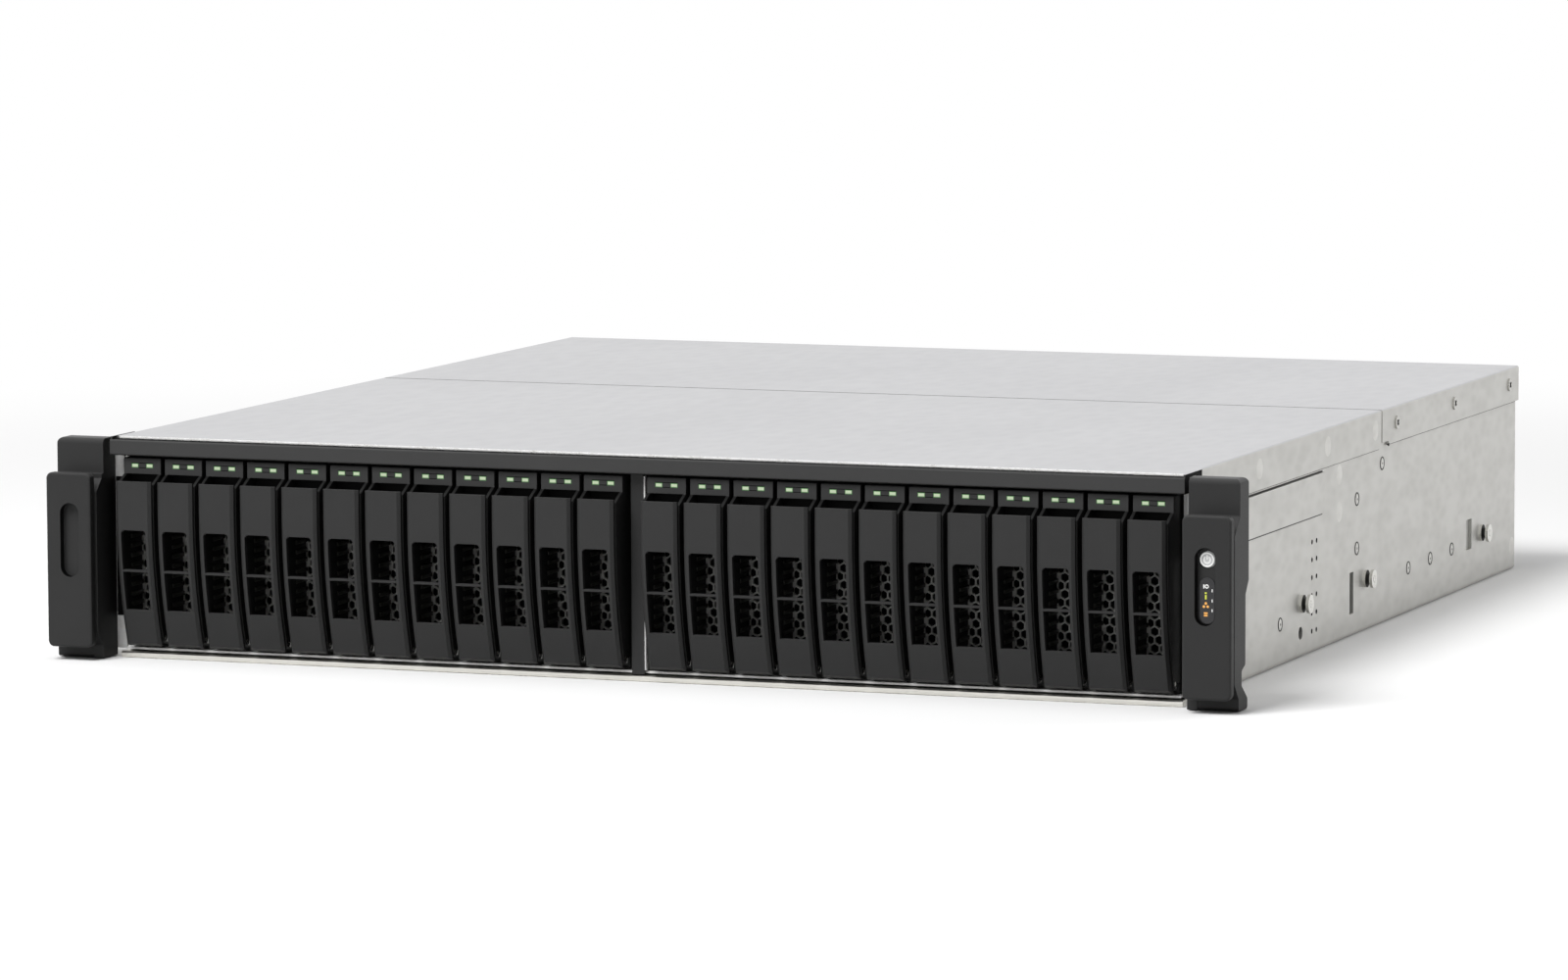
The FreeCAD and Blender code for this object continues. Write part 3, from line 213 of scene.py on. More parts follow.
def finish(tree, sockets):
    """Close a material's tree with its surface shader."""
    shader = add(tree, "ShaderNodeBsdfPrincipled", {}, sockets)
    add(tree, "ShaderNodeOutputMaterial", {}, {"Surface": shader.outputs["BSDF"]})


def per_metre(size_mm):
    """The texture scale that gives features of a size in millimetres."""
    return 1.0 / (size_mm * MM)


# Stretches of the patterns: along the mill's rolling, and along drawn or extruded lines
ROLLED = (1.0, 0.45, 1.0)
ALONG_X = (0.02, 1.0, 1.0)
ALONG_Z = (1.0, 1.0, 0.02)
ALL_WAYS = (1.0, 1.0, 1.0)

# Sizes of the patterns in millimetres, with grain and lines coarser than the real ones, so that they show
SHEET_GRAIN = 0.9
DRAWN_LINES = 0.7
LENS_HAZE = 1.1
MOULD_FLOW = 22.0
TRACK_FIELD = 14.0


def sheet_metal(name, dark, light, spangle_mm, cloud_mm, rough, bump, metal=0.8):
    """Zinc-coated sheet: a soft cloudy crystal pattern drawn out by the rolling, and a fine grain."""
    material, tree, place = start(name)
    rolled = add(tree, "ShaderNodeMapping", {}, {"Vector": place, "Scale": ROLLED}).outputs["Vector"]
    cells = add(tree, "ShaderNodeTexVoronoi", {"feature": "SMOOTH_F1"},
                {"Vector": rolled, "Scale": per_metre(spangle_mm), "Smoothness": 0.6})
    clouds = add(tree, "ShaderNodeTexNoise", {},
                 {"Vector": rolled, "Scale": per_metre(cloud_mm), "Detail": 5.0, "Distortion": 0.4})
    tone = add(tree, "ShaderNodeMix", {},
               {"Factor": 0.65, "A": cells.outputs["Distance"], "B": clouds.outputs["Fac"]})
    spread = add(tree, "ShaderNodeMapRange", {},
                 {"Value": tone.outputs[0], "From Min": 0.32, "From Max": 0.62})
    tint = add(tree, "ShaderNodeMix", {"data_type": "RGBA"},
               {"Factor": spread.outputs["Result"], 6: colour(dark), 7: colour(light)})
    gloss = add(tree, "ShaderNodeMapRange", {},
                {"Value": spread.outputs["Result"], "To Min": rough + 0.05, "To Max": rough - 0.03})
    grain = add(tree, "ShaderNodeTexNoise", {},
                {"Vector": place, "Scale": per_metre(SHEET_GRAIN), "Detail": 3.0})
    relief = add(tree, "ShaderNodeBump", {},
                 {"Strength": bump, "Distance": 0.05 * MM, "Height": grain.outputs["Fac"]})
    finish(tree, {"Base Color": tint.outputs[2], "Metallic": metal, "Roughness": gloss.outputs["Result"],
                  "Normal": relief.outputs["Normal"]})
    return material


def moulded(name, dark, light, rough, grain_mm, bump, edge_mm, shine=0.25):
    """Moulded plastic: a fine spark-eroded grain, a little tone from the flow, and softened edges."""
    material, tree, place = start(name)
    flow = add(tree, "ShaderNodeTexNoise", {},
               {"Vector": place, "Scale": per_metre(MOULD_FLOW), "Detail": 3.0})
    tint = add(tree, "ShaderNodeMix", {"data_type": "RGBA"},
               {"Factor": flow.outputs["Fac"], 6: colour(dark), 7: colour(light)})
    grain = add(tree, "ShaderNodeTexNoise", {},
                {"Vector": place, "Scale": per_metre(grain_mm), "Detail": 2.0})
    gloss = add(tree, "ShaderNodeMapRange", {},
                {"Value": grain.outputs["Fac"], "To Min": rough - 0.06, "To Max": rough + 0.06})
    soft = add(tree, "ShaderNodeBevel", {"samples": 4}, {"Radius": edge_mm * MM})
    relief = add(tree, "ShaderNodeBump", {},
                 {"Strength": bump, "Distance": 0.04 * MM, "Height": grain.outputs["Fac"],
                  "Normal": soft.outputs["Normal"]})
    finish(tree, {"Base Color": tint.outputs[2], "Roughness": gloss.outputs["Result"], "IOR": 1.5,
                  "Specular IOR Level": shine, "Normal": relief.outputs["Normal"]})
    return material


def drawn_metal(name, dark, light, rough, stretch):
    """Rolled, drawn or turned metal: fine lines along one direction in tone and gloss."""
    material, tree, place = start(name)
    stretched = add(tree, "ShaderNodeMapping", {}, {"Vector": place, "Scale": stretch})
    lines = add(tree, "ShaderNodeTexNoise", {},
                {"Vector": stretched.outputs["Vector"], "Scale": per_metre(DRAWN_LINES), "Detail": 4.0})
    tint = add(tree, "ShaderNodeMix", {"data_type": "RGBA"},
               {"Factor": lines.outputs["Fac"], 6: colour(dark), 7: colour(light)})
    gloss = add(tree, "ShaderNodeMapRange", {},
                {"Value": lines.outputs["Fac"], "To Min": rough - 0.05, "To Max": rough + 0.08})
    relief = add(tree, "ShaderNodeBump", {},
                 {"Strength": 0.08, "Distance": 0.03 * MM, "Height": lines.outputs["Fac"]})
    finish(tree, {"Base Color": tint.outputs[2], "Metallic": 1.0, "Roughness": gloss.outputs["Result"],
                  "Normal": relief.outputs["Normal"]})
    return material


def lit_lens(name, body, rim, core, strength):
    """A light seen through a diffusing lens: cloudy inside, brighter where the light stands behind it."""
    material, tree, place = start(name)
    haze = add(tree, "ShaderNodeTexNoise", {},
               {"Vector": place, "Scale": per_metre(LENS_HAZE), "Detail": 2.0})
    glow = add(tree, "ShaderNodeMix", {"data_type": "RGBA"},
               {"Factor": haze.outputs["Fac"], 6: colour(rim), 7: colour(core)})
    finish(tree, {"Base Color": colour(body), "Roughness": 0.35, "IOR": 1.49,
                  "Emission Color": glow.outputs[2], "Emission Strength": strength})
    return material


def solder_mask(name, dark, light):
    """Lacquered circuit laminate: glossy green over fine copper tracks that show as paler lines."""
    material, tree, place = start(name)
    tracks = add(tree, "ShaderNodeTexBrick", {"offset": 0.37, "squash": 0.6, "squash_frequency": 3},
                 {"Vector": place, "Scale": per_metre(TRACK_FIELD), "Mortar Size": 0.012, "Brick Width": 0.9,
                  "Row Height": 0.11, "Color1": colour(dark), "Color2": colour(dark),
                  "Mortar": colour(light)})
    relief = add(tree, "ShaderNodeBump", {},
                 {"Strength": 0.15, "Distance": 0.04 * MM, "Height": tracks.outputs["Fac"]})
    finish(tree, {"Base Color": tracks.outputs["Color"], "Roughness": 0.32, "IOR": 1.5,
                  "Normal": relief.outputs["Normal"]})
    return material


# Zinc-coated steel sheet, as rolled: nearly even, with a faint warm mottle of crystals
galvanised = sheet_metal("galvanised_steel_sheet", "#C8C7C3", "#CFCECA", 4.0, 9.0, 0.44, 0.20)
# The same sheet skin-passed smooth for the covers: cooler and even, with a satin sheen
skin_passed = sheet_metal("skin_passed_zinc_cover", "#C3C3C5", "#C5C5C7", 6.0, 80.0, 0.40, 0.05)
# Painted highlight: the hemmed edges of that sheet and the upward sills of its openings, brighter as lit
# lines, drawn along the edge
painted_highlight_edge = drawn_metal("hem_and_sill_painted_highlight", "#D2D0C9", "#F0EEE8", 0.28, ALONG_X)
# Painted highlight: near-white on the sheet's front edges and the bare edge by the centre post, as where
# they catch the light
painted_highlight_white = sheet_metal("edge_painted_highlight_white", "#F4F3F0", "#FFFFFF", 2.0, 6.0, 0.45, 0.05, 0.2)
# Painted highlight: the folded front edge of the cover, near-white as a lit line
cover_edge_highlight = sheet_metal("cover_edge_painted_highlight", "#F4F3F0", "#FFFFFF", 2.0, 6.0, 0.25, 0.05, 1.0)
# Nickel-plated turned steel: pins and screw heads, and the studs with a higher polish
nickel = drawn_metal("nickel_plated_steel", "#A9A8A3", "#D5D4CF", 0.26, ALL_WAYS)
polished_nickel = drawn_metal("polished_nickel_stud", "#C4C3BE", "#E4E3DE", 0.20, ALL_WAYS)
# Zinc-dipped spot-weld print: a paler, duller round mark on the sheet
weld_print = sheet_metal("spot_weld_print", "#D7D6D2", "#DFDEDA", 3.0, 5.0, 0.55, 0.15)
# Painted shade: a darker copy of the sheet, behind and inside the openings of the side walls, in the shade
# of the body
shaded_sheet = sheet_metal("shaded_inner_sheet", "#B6B6B2", "#C0C0BC", 4.0, 9.0, 0.50, 0.15)
# ABS moulded in a fine-grained tool: charcoal, low sheen
tray_abs = moulded("moulded_abs_tray", "#181818", "#1E1E1E", 0.52, 0.55, 0.18, 0.35)
# Painted shade: a blacker copy of the tray's ABS for the recess under the head
tray_well_painted_shade = moulded("moulded_abs_tray_well_painted_shade", "#0C0C0C", "#101010", 0.60, 0.55, 0.18, 0.20, 0.15)
rib_abs = moulded("moulded_abs_rib", "#23231F", "#2A2A26", 0.50, 0.55, 0.16, 0.20)
head_abs = moulded("moulded_abs_tray_head", "#3C3C3C", "#424242", 0.50, 0.55, 0.16, 0.35)
lever_abs = moulded("moulded_abs_lever", "#363636", "#3C3C3C", 0.48, 0.55, 0.16, 0.35)
# Painted shade: a darker copy of the lever's ABS for the lever sides and the ears' inner sides
side_painted_shade_abs = moulded("moulded_abs_side_painted_shade", "#141414", "#1A1A1A", 0.52, 0.55, 0.16, 0.20, 0.2)
trim_abs = moulded("moulded_abs_trim", "#434343", "#494949", 0.46, 0.60, 0.15, 0.35)
ear_abs = moulded("moulded_abs_ear", "#333333", "#393939", 0.48, 0.65, 0.20, 0.35)
# Painted shade: a darker copy of the ear's ABS for the ears' outer sides
ear_outer_painted_shade_abs = moulded("moulded_abs_ear_outer_painted_shade", "#262626", "#2C2C2C", 0.52, 0.65, 0.20, 0.35)
# Nylon of connectors, sockets and handles: blacker and a little glossier
nylon = moulded("black_nylon", "#141414", "#1A1A1A", 0.38, 0.50, 0.12, 0.20, 0.4)
ivory_nylon = moulded("ivory_nylon", "#CFCBBD", "#D8D4C6", 0.42, 0.50, 0.10, 0.20, 0.4)
blue_nylon = moulded("blue_nylon_tongue", "#1F4E8C", "#255796", 0.40, 0.50, 0.10, 0.20, 0.4)
release_nylon = moulded("green_nylon_release", "#1F6B4A", "#247553", 0.42, 0.50, 0.12, 0.20, 0.4)
# Moulded epoxy of the chips: matt black with a fine filler grain
epoxy = moulded("black_epoxy_chip", "#161618", "#1C1C1E", 0.55, 0.30, 0.15, 0.10)
# Painted shade: near-black for recesses, openings and gaps that the light doesn't reach
painted_shade_black = moulded("painted_shade_black", "#060606", "#090909", 0.75, 0.50, 0.05, 0.05, 0.1)
# Painted shade: mid-dark grey where one sheet meets or overhangs another, and in the stud necks, rivet rings
# and slot backs
painted_shade_grey = moulded("sheet_joint_painted_shade", "#3A3A38", "#444442", 0.60, 0.80, 0.05, 0.05, 0.2)
# Steel of the tray's grill, as pressed: pale grey, with a dull zinc skin
grill_plate = sheet_metal("pressed_grill_plate", "#C6C6C2", "#D4D4D0", 2.0, 5.0, 0.42, 0.10, 0.3)
# Acrylic light pipes: green at the rim, nearly white where the light stands behind
pipe_rim = lit_lens("light_pipe_green", "#3F663C", "#4A7A48", "#588A54", 0.40)
pipe_core = lit_lens("light_pipe_core", "#7C8C70", "#C2D4B0", "#DAE5CB", 0.62)
# Frosted button, white print and the small status lights, lit from behind
frosted = lit_lens("frosted_button", "#D4D5D5", "#BABCBC", "#CCCECE", 0.30)
white_print = lit_lens("white_print", "#F2F2F0", "#ECECEA", "#FAFAF8", 0.60)
lime_light = lit_lens("lime_status_light", "#A8AE2A", "#CCD83A", "#E6EC6A", 0.70)
amber_light = lit_lens("amber_status_light", "#C08030", "#E8A040", "#FACB84", 0.75)
green_light = lit_lens("green_status_light", "#3F8A48", "#5CC46A", "#8FE29A", 0.60)
# Smoked acrylic over the status lights: charcoal and glossy, in a well whose walls carry painted shade
smoked = moulded("smoked_acrylic", "#272729", "#2D2D2F", 0.22, 2.0, 0.02, 0.10, 0.5)
# Die-cast and extruded aluminium: grey and even, or with fine lines along the die
drive_case = drawn_metal("drive_casting", "#8E9092", "#A7A9AA", 0.42, ALL_WAYS)
sink_alloy = drawn_metal("extruded_aluminium", "#A8AAAC", "#C2C4C5", 0.30, ALONG_Z)
# Gold-plated contacts and turned brass pillars
gold = drawn_metal("gold_contact", "#C29A4A", "#DDBB6E", 0.25, ALL_WAYS)
brass = drawn_metal("brass_standoff", "#A98B4B", "#C4A661", 0.30, ALL_WAYS)
# Bare foil label: pale, with a faint crinkle
foil = sheet_metal("blank_foil_label", "#D3D4D4", "#DDDEDE", 4.0, 8.0, 0.48, 0.10, 0.3)
# Lacquered laminate of the boards
mask_green = solder_mask("green_solder_mask", "#0E3B22", "#1C5A36")

# Screw heads: height and reach of the cross as shares of the radius, width of a bar as a share of the reach
SCREW_RISE = 0.55
CROSS_REACH = 0.38
CROSS_BAR = 0.28
CROSS_THICKNESS = 0.06

# Faces round a wire ring's section, and along a plate's round corner
RING_SIDES = 8
CORNER_SEGMENTS = 6


# Mesh helpers, in millimetres
def plain_block(bm, low, high):
    """A box between two opposite corners. Returns its vertices."""
    corners = list(zip(low, high))
    low = Vector([min(pair) for pair in corners])
    high = Vector([max(pair) for pair in corners])
    made = bmesh.ops.create_cube(bm, size=1.0)["verts"]
    bmesh.ops.scale(bm, vec=high - low, verts=made)
    bmesh.ops.translate(bm, vec=(low + high) / 2, verts=made)
    return made


def round_edges(bm, edges, radius, segments):
    """Round some edges off."""
    bmesh.ops.bevel(bm, geom=list(edges), offset=radius, offset_type="OFFSET", segments=segments,
                    profile=0.5, affect="EDGES", material=-1)


def rounded_block(bm, low, high, edge=0.0, segments=2):
    """A box between two opposite corners with its edges rounded."""
    made = plain_block(bm, low, high)
    if edge > 0:
        round_edges(bm, {e for v in made for e in v.link_edges}, edge, segments)


def rounded_plate(bm, low, high, axis, corner, edge=0.0):
    """A flat plate across an axis, with round corners in its outline and softened faces."""
    made = plain_block(bm, low, high)
    along = Vector(axis)
    posts = []
    for side in {e for v in made for e in v.link_edges}:
        way = side.verts[1].co - side.verts[0].co
        if abs(way.normalized().dot(along)) > FACING:
            posts.append(side)
    faces = {f for v in made for f in v.link_faces}
    round_edges(bm, posts, corner, CORNER_SEGMENTS)
    if edge > 0:
        caps = [f for f in faces if f.is_valid and abs(f.normal.dot(along)) > FACING]
        round_edges(bm, {e for f in caps for e in f.edges}, edge, 2)


def side_blocks(bm, low, high, edge=0.0):
    """The same rounded block on the right side and, mirrored, on the left."""
    for side in SIDES:
        rounded_block(bm, (side * low[0], *low[1:]), (side * high[0], *high[1:]), edge)


def turned(bm, base, axis, profile, closed=False, steps=ROUND_STEPS):
    """A turned shape: pairs of distance along an axis and radius, spun round it."""
    axis = Vector(axis)
    base = Vector(base)
    side = axis.orthogonal().normalized()
    points = [bm.verts.new(base + axis * along + side * radius) for along, radius in profile]
    edges = [bm.edges.new(pair) for pair in zip(points, points[1:])]
    if closed:
        edges.append(bm.edges.new((points[-1], points[0])))
    bmesh.ops.spin(bm, geom=points + edges, cent=base, axis=axis, angle=math.tau, steps=steps,
                   use_merge=True)


def ring(bm, centre, axis, radius, tube, steps=ROUND_STEPS):
    """A round wire ring."""
    section = []
    for k in range(RING_SIDES):
        turn = math.tau * k / RING_SIDES
        section.append((tube * math.sin(turn), radius + tube * math.cos(turn)))
    turned(bm, centre, axis, section, closed=True, steps=steps)


def slab(bm, corners, depth):
    """A flat outline pulled along a vector."""
    face = bm.faces.new([bm.verts.new(corner) for corner in corners])
    made = bmesh.ops.extrude_face_region(bm, geom=[face])["geom"]
    moved = [item for item in made if isinstance(item, bmesh.types.BMVert)]
    bmesh.ops.translate(bm, vec=Vector(depth), verts=moved)


def cross_recess(bm, centre, axis, size):
    """The cross of a screw's drive, as two thin bars on its head."""
    base = Vector(centre)
    axis = Vector(axis)
    one = axis.orthogonal().normalized()
    two = axis.cross(one)
    for long_way, short_way in ((one, two), (two, one)):
        a = long_way * size
        b = short_way * size * CROSS_BAR
        slab(bm, [base + a + b, base - a + b, base - a - b, base + a - b], axis * CROSS_THICKNESS)


def set_piece(bm, name, body, material):
    """Close a mesh, scale it to metres and hang it on its body."""
    bmesh.ops.remove_doubles(bm, verts=bm.verts, dist=MERGE_DISTANCE)
    bmesh.ops.recalc_face_normals(bm, faces=bm.faces)
    for face in bm.faces:
        face.smooth = True
    for edge in bm.edges:
        edge.smooth = edge.calc_face_angle(math.pi) < SMOOTH_ANGLE
    bmesh.ops.scale(bm, vec=(MM, MM, MM), verts=bm.verts)
    mesh = bpy.data.meshes.new(name)
    bm.to_mesh(mesh)
    bm.free()
    mesh.materials.append(material)
    piece = bpy.data.objects.new(name, mesh)
    bpy.context.scene.collection.objects.link(piece)
    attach(piece, body)


def tray_piece(bm, number, name, material):
    """Hang a piece on one tray."""
    set_piece(bm, "tray_%02d_%s" % (number, name), "tray_%02d" % number, material)


def chassis_piece(bm, name, material):
    """Hang a piece on the fixed chassis."""
    set_piece(bm, name, "chassis", material)


def board_piece(bm, name, material):
    """Hang a piece of the main board on the fixed chassis."""
    chassis_piece(bm, name, material)


def supply_piece(bm, name, material):
    """Hang a piece on the power supply."""
    set_piece(bm, name, "power_supply", material)


def screws(name, places, axis, radius):
    """Pan-head screws with cross recesses, standing on places of the chassis that face one way."""
    heads = bmesh.new()
    drives = bmesh.new()
    height = radius * SCREW_RISE
    profile = [(-SLACK, radius), (height * 0.45, radius), (height * 0.85, radius * 0.72),
               (height, radius * 0.4), (height, 0.0)]
    for place in places:
        turned(heads, place, axis, profile, steps=20)
        cross_recess(drives, Vector(place) + Vector(axis) * (height - HAIR), axis, radius * CROSS_REACH)
    chassis_piece(heads, name, nickel)
    # Painted shade in the cross recesses
    chassis_piece(drives, name + "_drives", painted_shade_black)


def dress(node, *rules):
    """Give a node's faces their finishes: the last rule that holds for a face's middle wins."""
    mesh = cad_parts[node].data
    mesh.materials.clear()
    for material, test in rules:
        mesh.materials.append(material)
    for face in mesh.polygons:
        middle = face.center / MM
        for index, (material, test) in enumerate(rules):
            if test(middle, face.normal):
                face.material_index = index


def everywhere(point, normal):
    return True


# Finishes of the nodes
def dress_pan():
    """Sheet with painted highlights and shade at its edges, openings and stud necks, and polished rail
    studs.
    """
    # Painted highlight on the hem along the front lip
    def hem(point, normal):
        return point.y < HEM_BACK and point.z < HEM_TOP

    # Painted highlight on the side wall's front edge
    def wall_front(point, normal):
        return normal.y < -FACING and point.y < HEM_BACK and point.z > HEM_TOP

    # Painted shade inside the openings of the side walls
    def hole_wall(point, normal):
        in_wall = WALL_IN + HAIR < abs(point.x) < WALL_OUT - HAIR and abs(normal.x) < LEANING
        return in_wall and point.y > HOLES_START and HOLES_LOW < point.z < HOLES_HIGH

    # A lighter painted shade on the sides of the slot and the window
    def slot_wall(point, normal):
        in_slot = any(abs(point.y - opening[0]) < opening[1] + SLACK for opening in (WALL_SLOT, WALL_WINDOW))
        return hole_wall(point, normal) and in_slot and normal.z > -LEANING

    # Painted highlight on the sills that face up
    def slot_sill(point, normal):
        return slot_wall(point, normal) and normal.z > LEANING

    # A lighter painted shade on the side of the locating hole that faces forward
    def locating_hole(point, normal):
        off_centre = math.hypot(point.y - HOLE_PLACE, point.z - HOLE_HEIGHT)
        return hole_wall(point, normal) and off_centre < HOLE_RADIUS + SLACK and normal.y < -HOLE_LIT

    def stud(point, normal):
        return abs(point.x) > WALL_OUT + SLACK

    # Painted shade on the neck of each rail stud
    def stud_neck(point, normal):
        return STUD_COLLAR - SLACK < abs(point.x) - WALL_OUT < STUD_HEAD_START + SLACK

    dress("chassis_pan", (galvanised, everywhere), (painted_highlight_edge, hem), (painted_highlight_white, wall_front),
          (painted_shade_black, hole_wall), (shaded_sheet, slot_wall), (painted_highlight_edge, slot_sill),
          (shaded_sheet, locating_hole), (polished_nickel, stud), (painted_shade_grey, stud_neck))


def dress_cage():
    """Sheet with a painted highlight on its front edge and painted shade on the front of its ceiling."""
    def front(point, normal):
        return point.y < CAGE_EDGE

    def ceiling(point, normal):
        return front(point, normal) and point.z > CAGE_CEILING

    dress("drive_cage", (galvanised, everywhere), (painted_highlight_white, front), (painted_shade_black, ceiling))


def dress_covers():
    """Smooth tops, a painted highlight on the front edge and painted shade in the seam between the two
    covers.
    """
    def top(point, normal):
        return normal.z > LEANING

    # Painted highlight on the cover's front edge
    def front_edge(point, normal):
        return normal.y < -FACING and point.y < COVER_EDGE

    # Painted shade on the rear cover's front edge faces in the seam
    def seam(point, normal):
        return normal.y < -FACING and point.y < SEAM_BACK + SLACK and abs(point.x) < WALL_IN

    def screw(point, normal):
        return abs(point.x) > FRONT_COVER_SIDE + HAIR

    dress("front_top_cover", (galvanised, everywhere), (skin_passed, top), (cover_edge_highlight, front_edge))
    dress("rear_top_cover", (galvanised, everywhere), (skin_passed, top), (painted_shade_grey, seam),
          (nickel, screw))


def dress_ears():
    """The two ears with their steel brackets, the button and the trim between them."""
    slot_x = (button_low.x + button_high.x) / 2

    def bracket(point, normal):
        return point.y > EAR_BACK

    # Painted highlight on the front edge of each bracket
    def bracket_front(point, normal):
        return bracket(point, normal) and normal.y < -FACING and point.y < BRACKET_FACE

    # Painted shade on the ears' inner sides, the darkest
    def inner_side(point, normal):
        return normal.x * point.x < 0 and abs(normal.x) > FACING and point.y < EAR_BACK

    # Painted shade on the ears' outer sides
    def outer_side(point, normal):
        return normal.x * point.x > 0 and abs(normal.x) > FACING and point.y < EAR_BACK

    # Painted shade on the walls of the well round the button and status window
    def well(point, normal):
        in_outline = abs(abs(point.x) - slot_x) < EAR_WELL_HALF and EAR_WELL_BOTTOM < point.z < EAR_WELL_TOP
        return in_outline and EAR_FRONT + SLACK < point.y < EAR_WELL_BACK

    def well_floor(point, normal):
        return well(point, normal) and normal.y < -FACING

    # Painted shade on the trim's top ledge, its ends and its back
    def trim_painted_shade(point, normal):
        ledge = normal.z > FACING and point.z > TRIM_LEDGE
        end = abs(normal.x) > FACING and abs(point.x) > FLANGE_OUT
        return ledge or end or point.y > TRIM_BACK

    def clip_top(point, normal):
        return normal.z > FACING and abs(point.x) > FLANGE_OUT and point.y > TRIM_BACK

    def post(point, normal):
        return abs(point.x) < POST_HALF + SLACK and point.y > POST_FRONT and point.z < POST_TOP + SLACK

    for node in ("left_ear", "right_ear"):
        dress(node, (ear_abs, everywhere), (side_painted_shade_abs, inner_side), (ear_outer_painted_shade_abs, outer_side),
              (galvanised, bracket), (painted_highlight_white, bracket_front), (painted_shade_black, well),
              (ear_abs, well_floor))
    dress("power_button", (frosted, everywhere))
    dress("front_trim", (trim_abs, everywhere), (painted_shade_black, trim_painted_shade), (skin_passed, clip_top),
          (ear_abs, post))


def dress_boards():
    """Backplane, fan wall and main board: lacquered laminate, nylon, alloy and brass."""
    def backplane(point, normal):
        return point.y > CAGE_BACK + SLACK

    def bulkhead(point, normal):
        return point.y > FAN_WALL_BACK - BULKHEAD - SLACK

    def above_board(point, normal):
        return point.z > BOARD_TOP + SLACK

    def laminate(point, normal):
        return BOARD_BOTTOM < point.z and not above_board(point, normal)

    def standoff(point, normal):
        return point.z < BOARD_BOTTOM

    def module(point, normal):
        in_bank = abs(abs(point.x - SINK_X) - MEMORY_MIDDLE) < MEMORY_HALF
        return in_bank and MEMORY_BOTTOM < point.z < MEMORY_TOP

    def sink(point, normal):
        over_chip = abs(point.x - SINK_X) < SINK_HALF or point.x > CHIP_SINK_LEFT
        return over_chip and above_board(point, normal) and point.y < SINKS_BACK

    def port(point, normal):
        return above_board(point, normal) and point.y > PORTS_FRONT

    dress("drive_backplane", (nylon, everywhere), (mask_green, backplane))
    dress("fan_wall", (nylon, everywhere), (galvanised, bulkhead))
    dress("main_board", (nylon, everywhere), (mask_green, laminate), (brass, standoff), (mask_green, module),
          (sink_alloy, sink), (nickel, port))


def dress_supply():
    """The supply's sheet case with its handle, its release tab, its inlet and its contact edge."""
    def handle(point, normal):
        return point.y > SUPPLY_FACE + SLACK and point.x < HANDLE_SIDE

    def latch(point, normal):
        return handle(point, normal) and point.x < LATCH_SIDE

    def inlet(point, normal):
        in_outline = INLET_LEFT < point.x < INLET_RIGHT and INLET_BOTTOM < point.z < INLET_TOP
        return in_outline and point.y > INLET_DEEP

    def edge(point, normal):
        return point.y < SUPPLY_EDGE

    dress("power_supply", (galvanised, everywhere), (nylon, handle), (release_nylon, latch), (nylon, inlet),
          (mask_green, edge))


def dress_tray(number, centre):
    """One tray with its grill, runners, drive, pin and lights, and its lever."""
    def head(point, normal):
        return point.z > HEAD_BOTTOM - SLACK and point.y < HEAD_BACK

    # Painted shade in the recess under the head
    def well(point, normal):
        under_head = point.z < HEAD_BOTTOM + SLACK and normal.z < LEANING
        return under_head and abs(point.x - centre) < CHEEK_INSIDE and point.y < GRILL_FRONT - SLACK

    def runner(point, normal):
        return point.y > BEZEL_BACK and not RUNNER_TOP <= point.z <= RUNNER_BOTTOM

    def drive(point, normal):
        return point.y > DRIVE_FRONT - SLACK and RUNNER_TOP < point.z < RUNNER_BOTTOM

    # Painted shade on the drive's front face, seen through the grill's holes
    def drive_front(point, normal):
        return drive(point, normal) and normal.y < -LEANING

    def grill(point, normal):
        in_plate = GRILL_FRONT - SLACK < point.y < BEZEL_BACK - HAIR
        in_height = tray_low.z + CHEEK + SLACK < point.z < HEAD_BOTTOM - SLACK
        return in_plate and in_height and abs(point.x - centre) < CHEEK_INSIDE

    def pin(point, normal):
        return math.hypot(point.y - PIVOT_PLACE, point.z - PIVOT_LEVEL) < PIN_RADIUS

    def light(point, normal):
        in_width = abs(abs(point.x - centre) - LIGHT_OFFSET) < LIGHT_HALF_WIDTH + HAIR
        return in_width and abs(point.z - LIGHT_LEVEL) < LIGHT_HALF_HEIGHT + HAIR and point.y < LIGHT_BACK

    # Painted shade on the lever's sides
    def lever_side(point, normal):
        return abs(normal.x) > FACING

    dress("drive_tray_%02d" % number, (tray_abs, everywhere), (head_abs, head), (tray_well_painted_shade, well),
          (galvanised, runner), (drive_case, drive), (painted_shade_black, drive_front), (grill_plate, grill),
          (nickel, pin), (pipe_rim, light))
    dress("tray_lever_%02d" % number, (lever_abs, everywhere), (side_painted_shade_abs, lever_side))


# Pieces on each tray
LENS_HALF_WIDTH = 1.25
LENS_HALF_HEIGHT = 0.6
GROOVE_HALF = 0.13
RIB_COUNT = 9
RIB_FIRST = 20.4
RIB_PITCH = 3.8
RIB_HEIGHT = 1.7
RIB_DEPTH = 0.8
LABEL_FRONT = DRIVE_FRONT + 12.0
LABEL_BACK = DRIVE_BACK - 22.0
LABEL_BOTTOM = 16.0
LABEL_TOP = 66.0
PLUG_HALF = 2.4
PLUG_BOTTOM = 25.0
PLUG_TOP = 59.0
CONTACT_COUNT = 22
CONTACT_FIRST = 27.0
CONTACT_PITCH = 1.4
CONTACT_HALF = 1.4
CONTACT_HEIGHT = 0.8


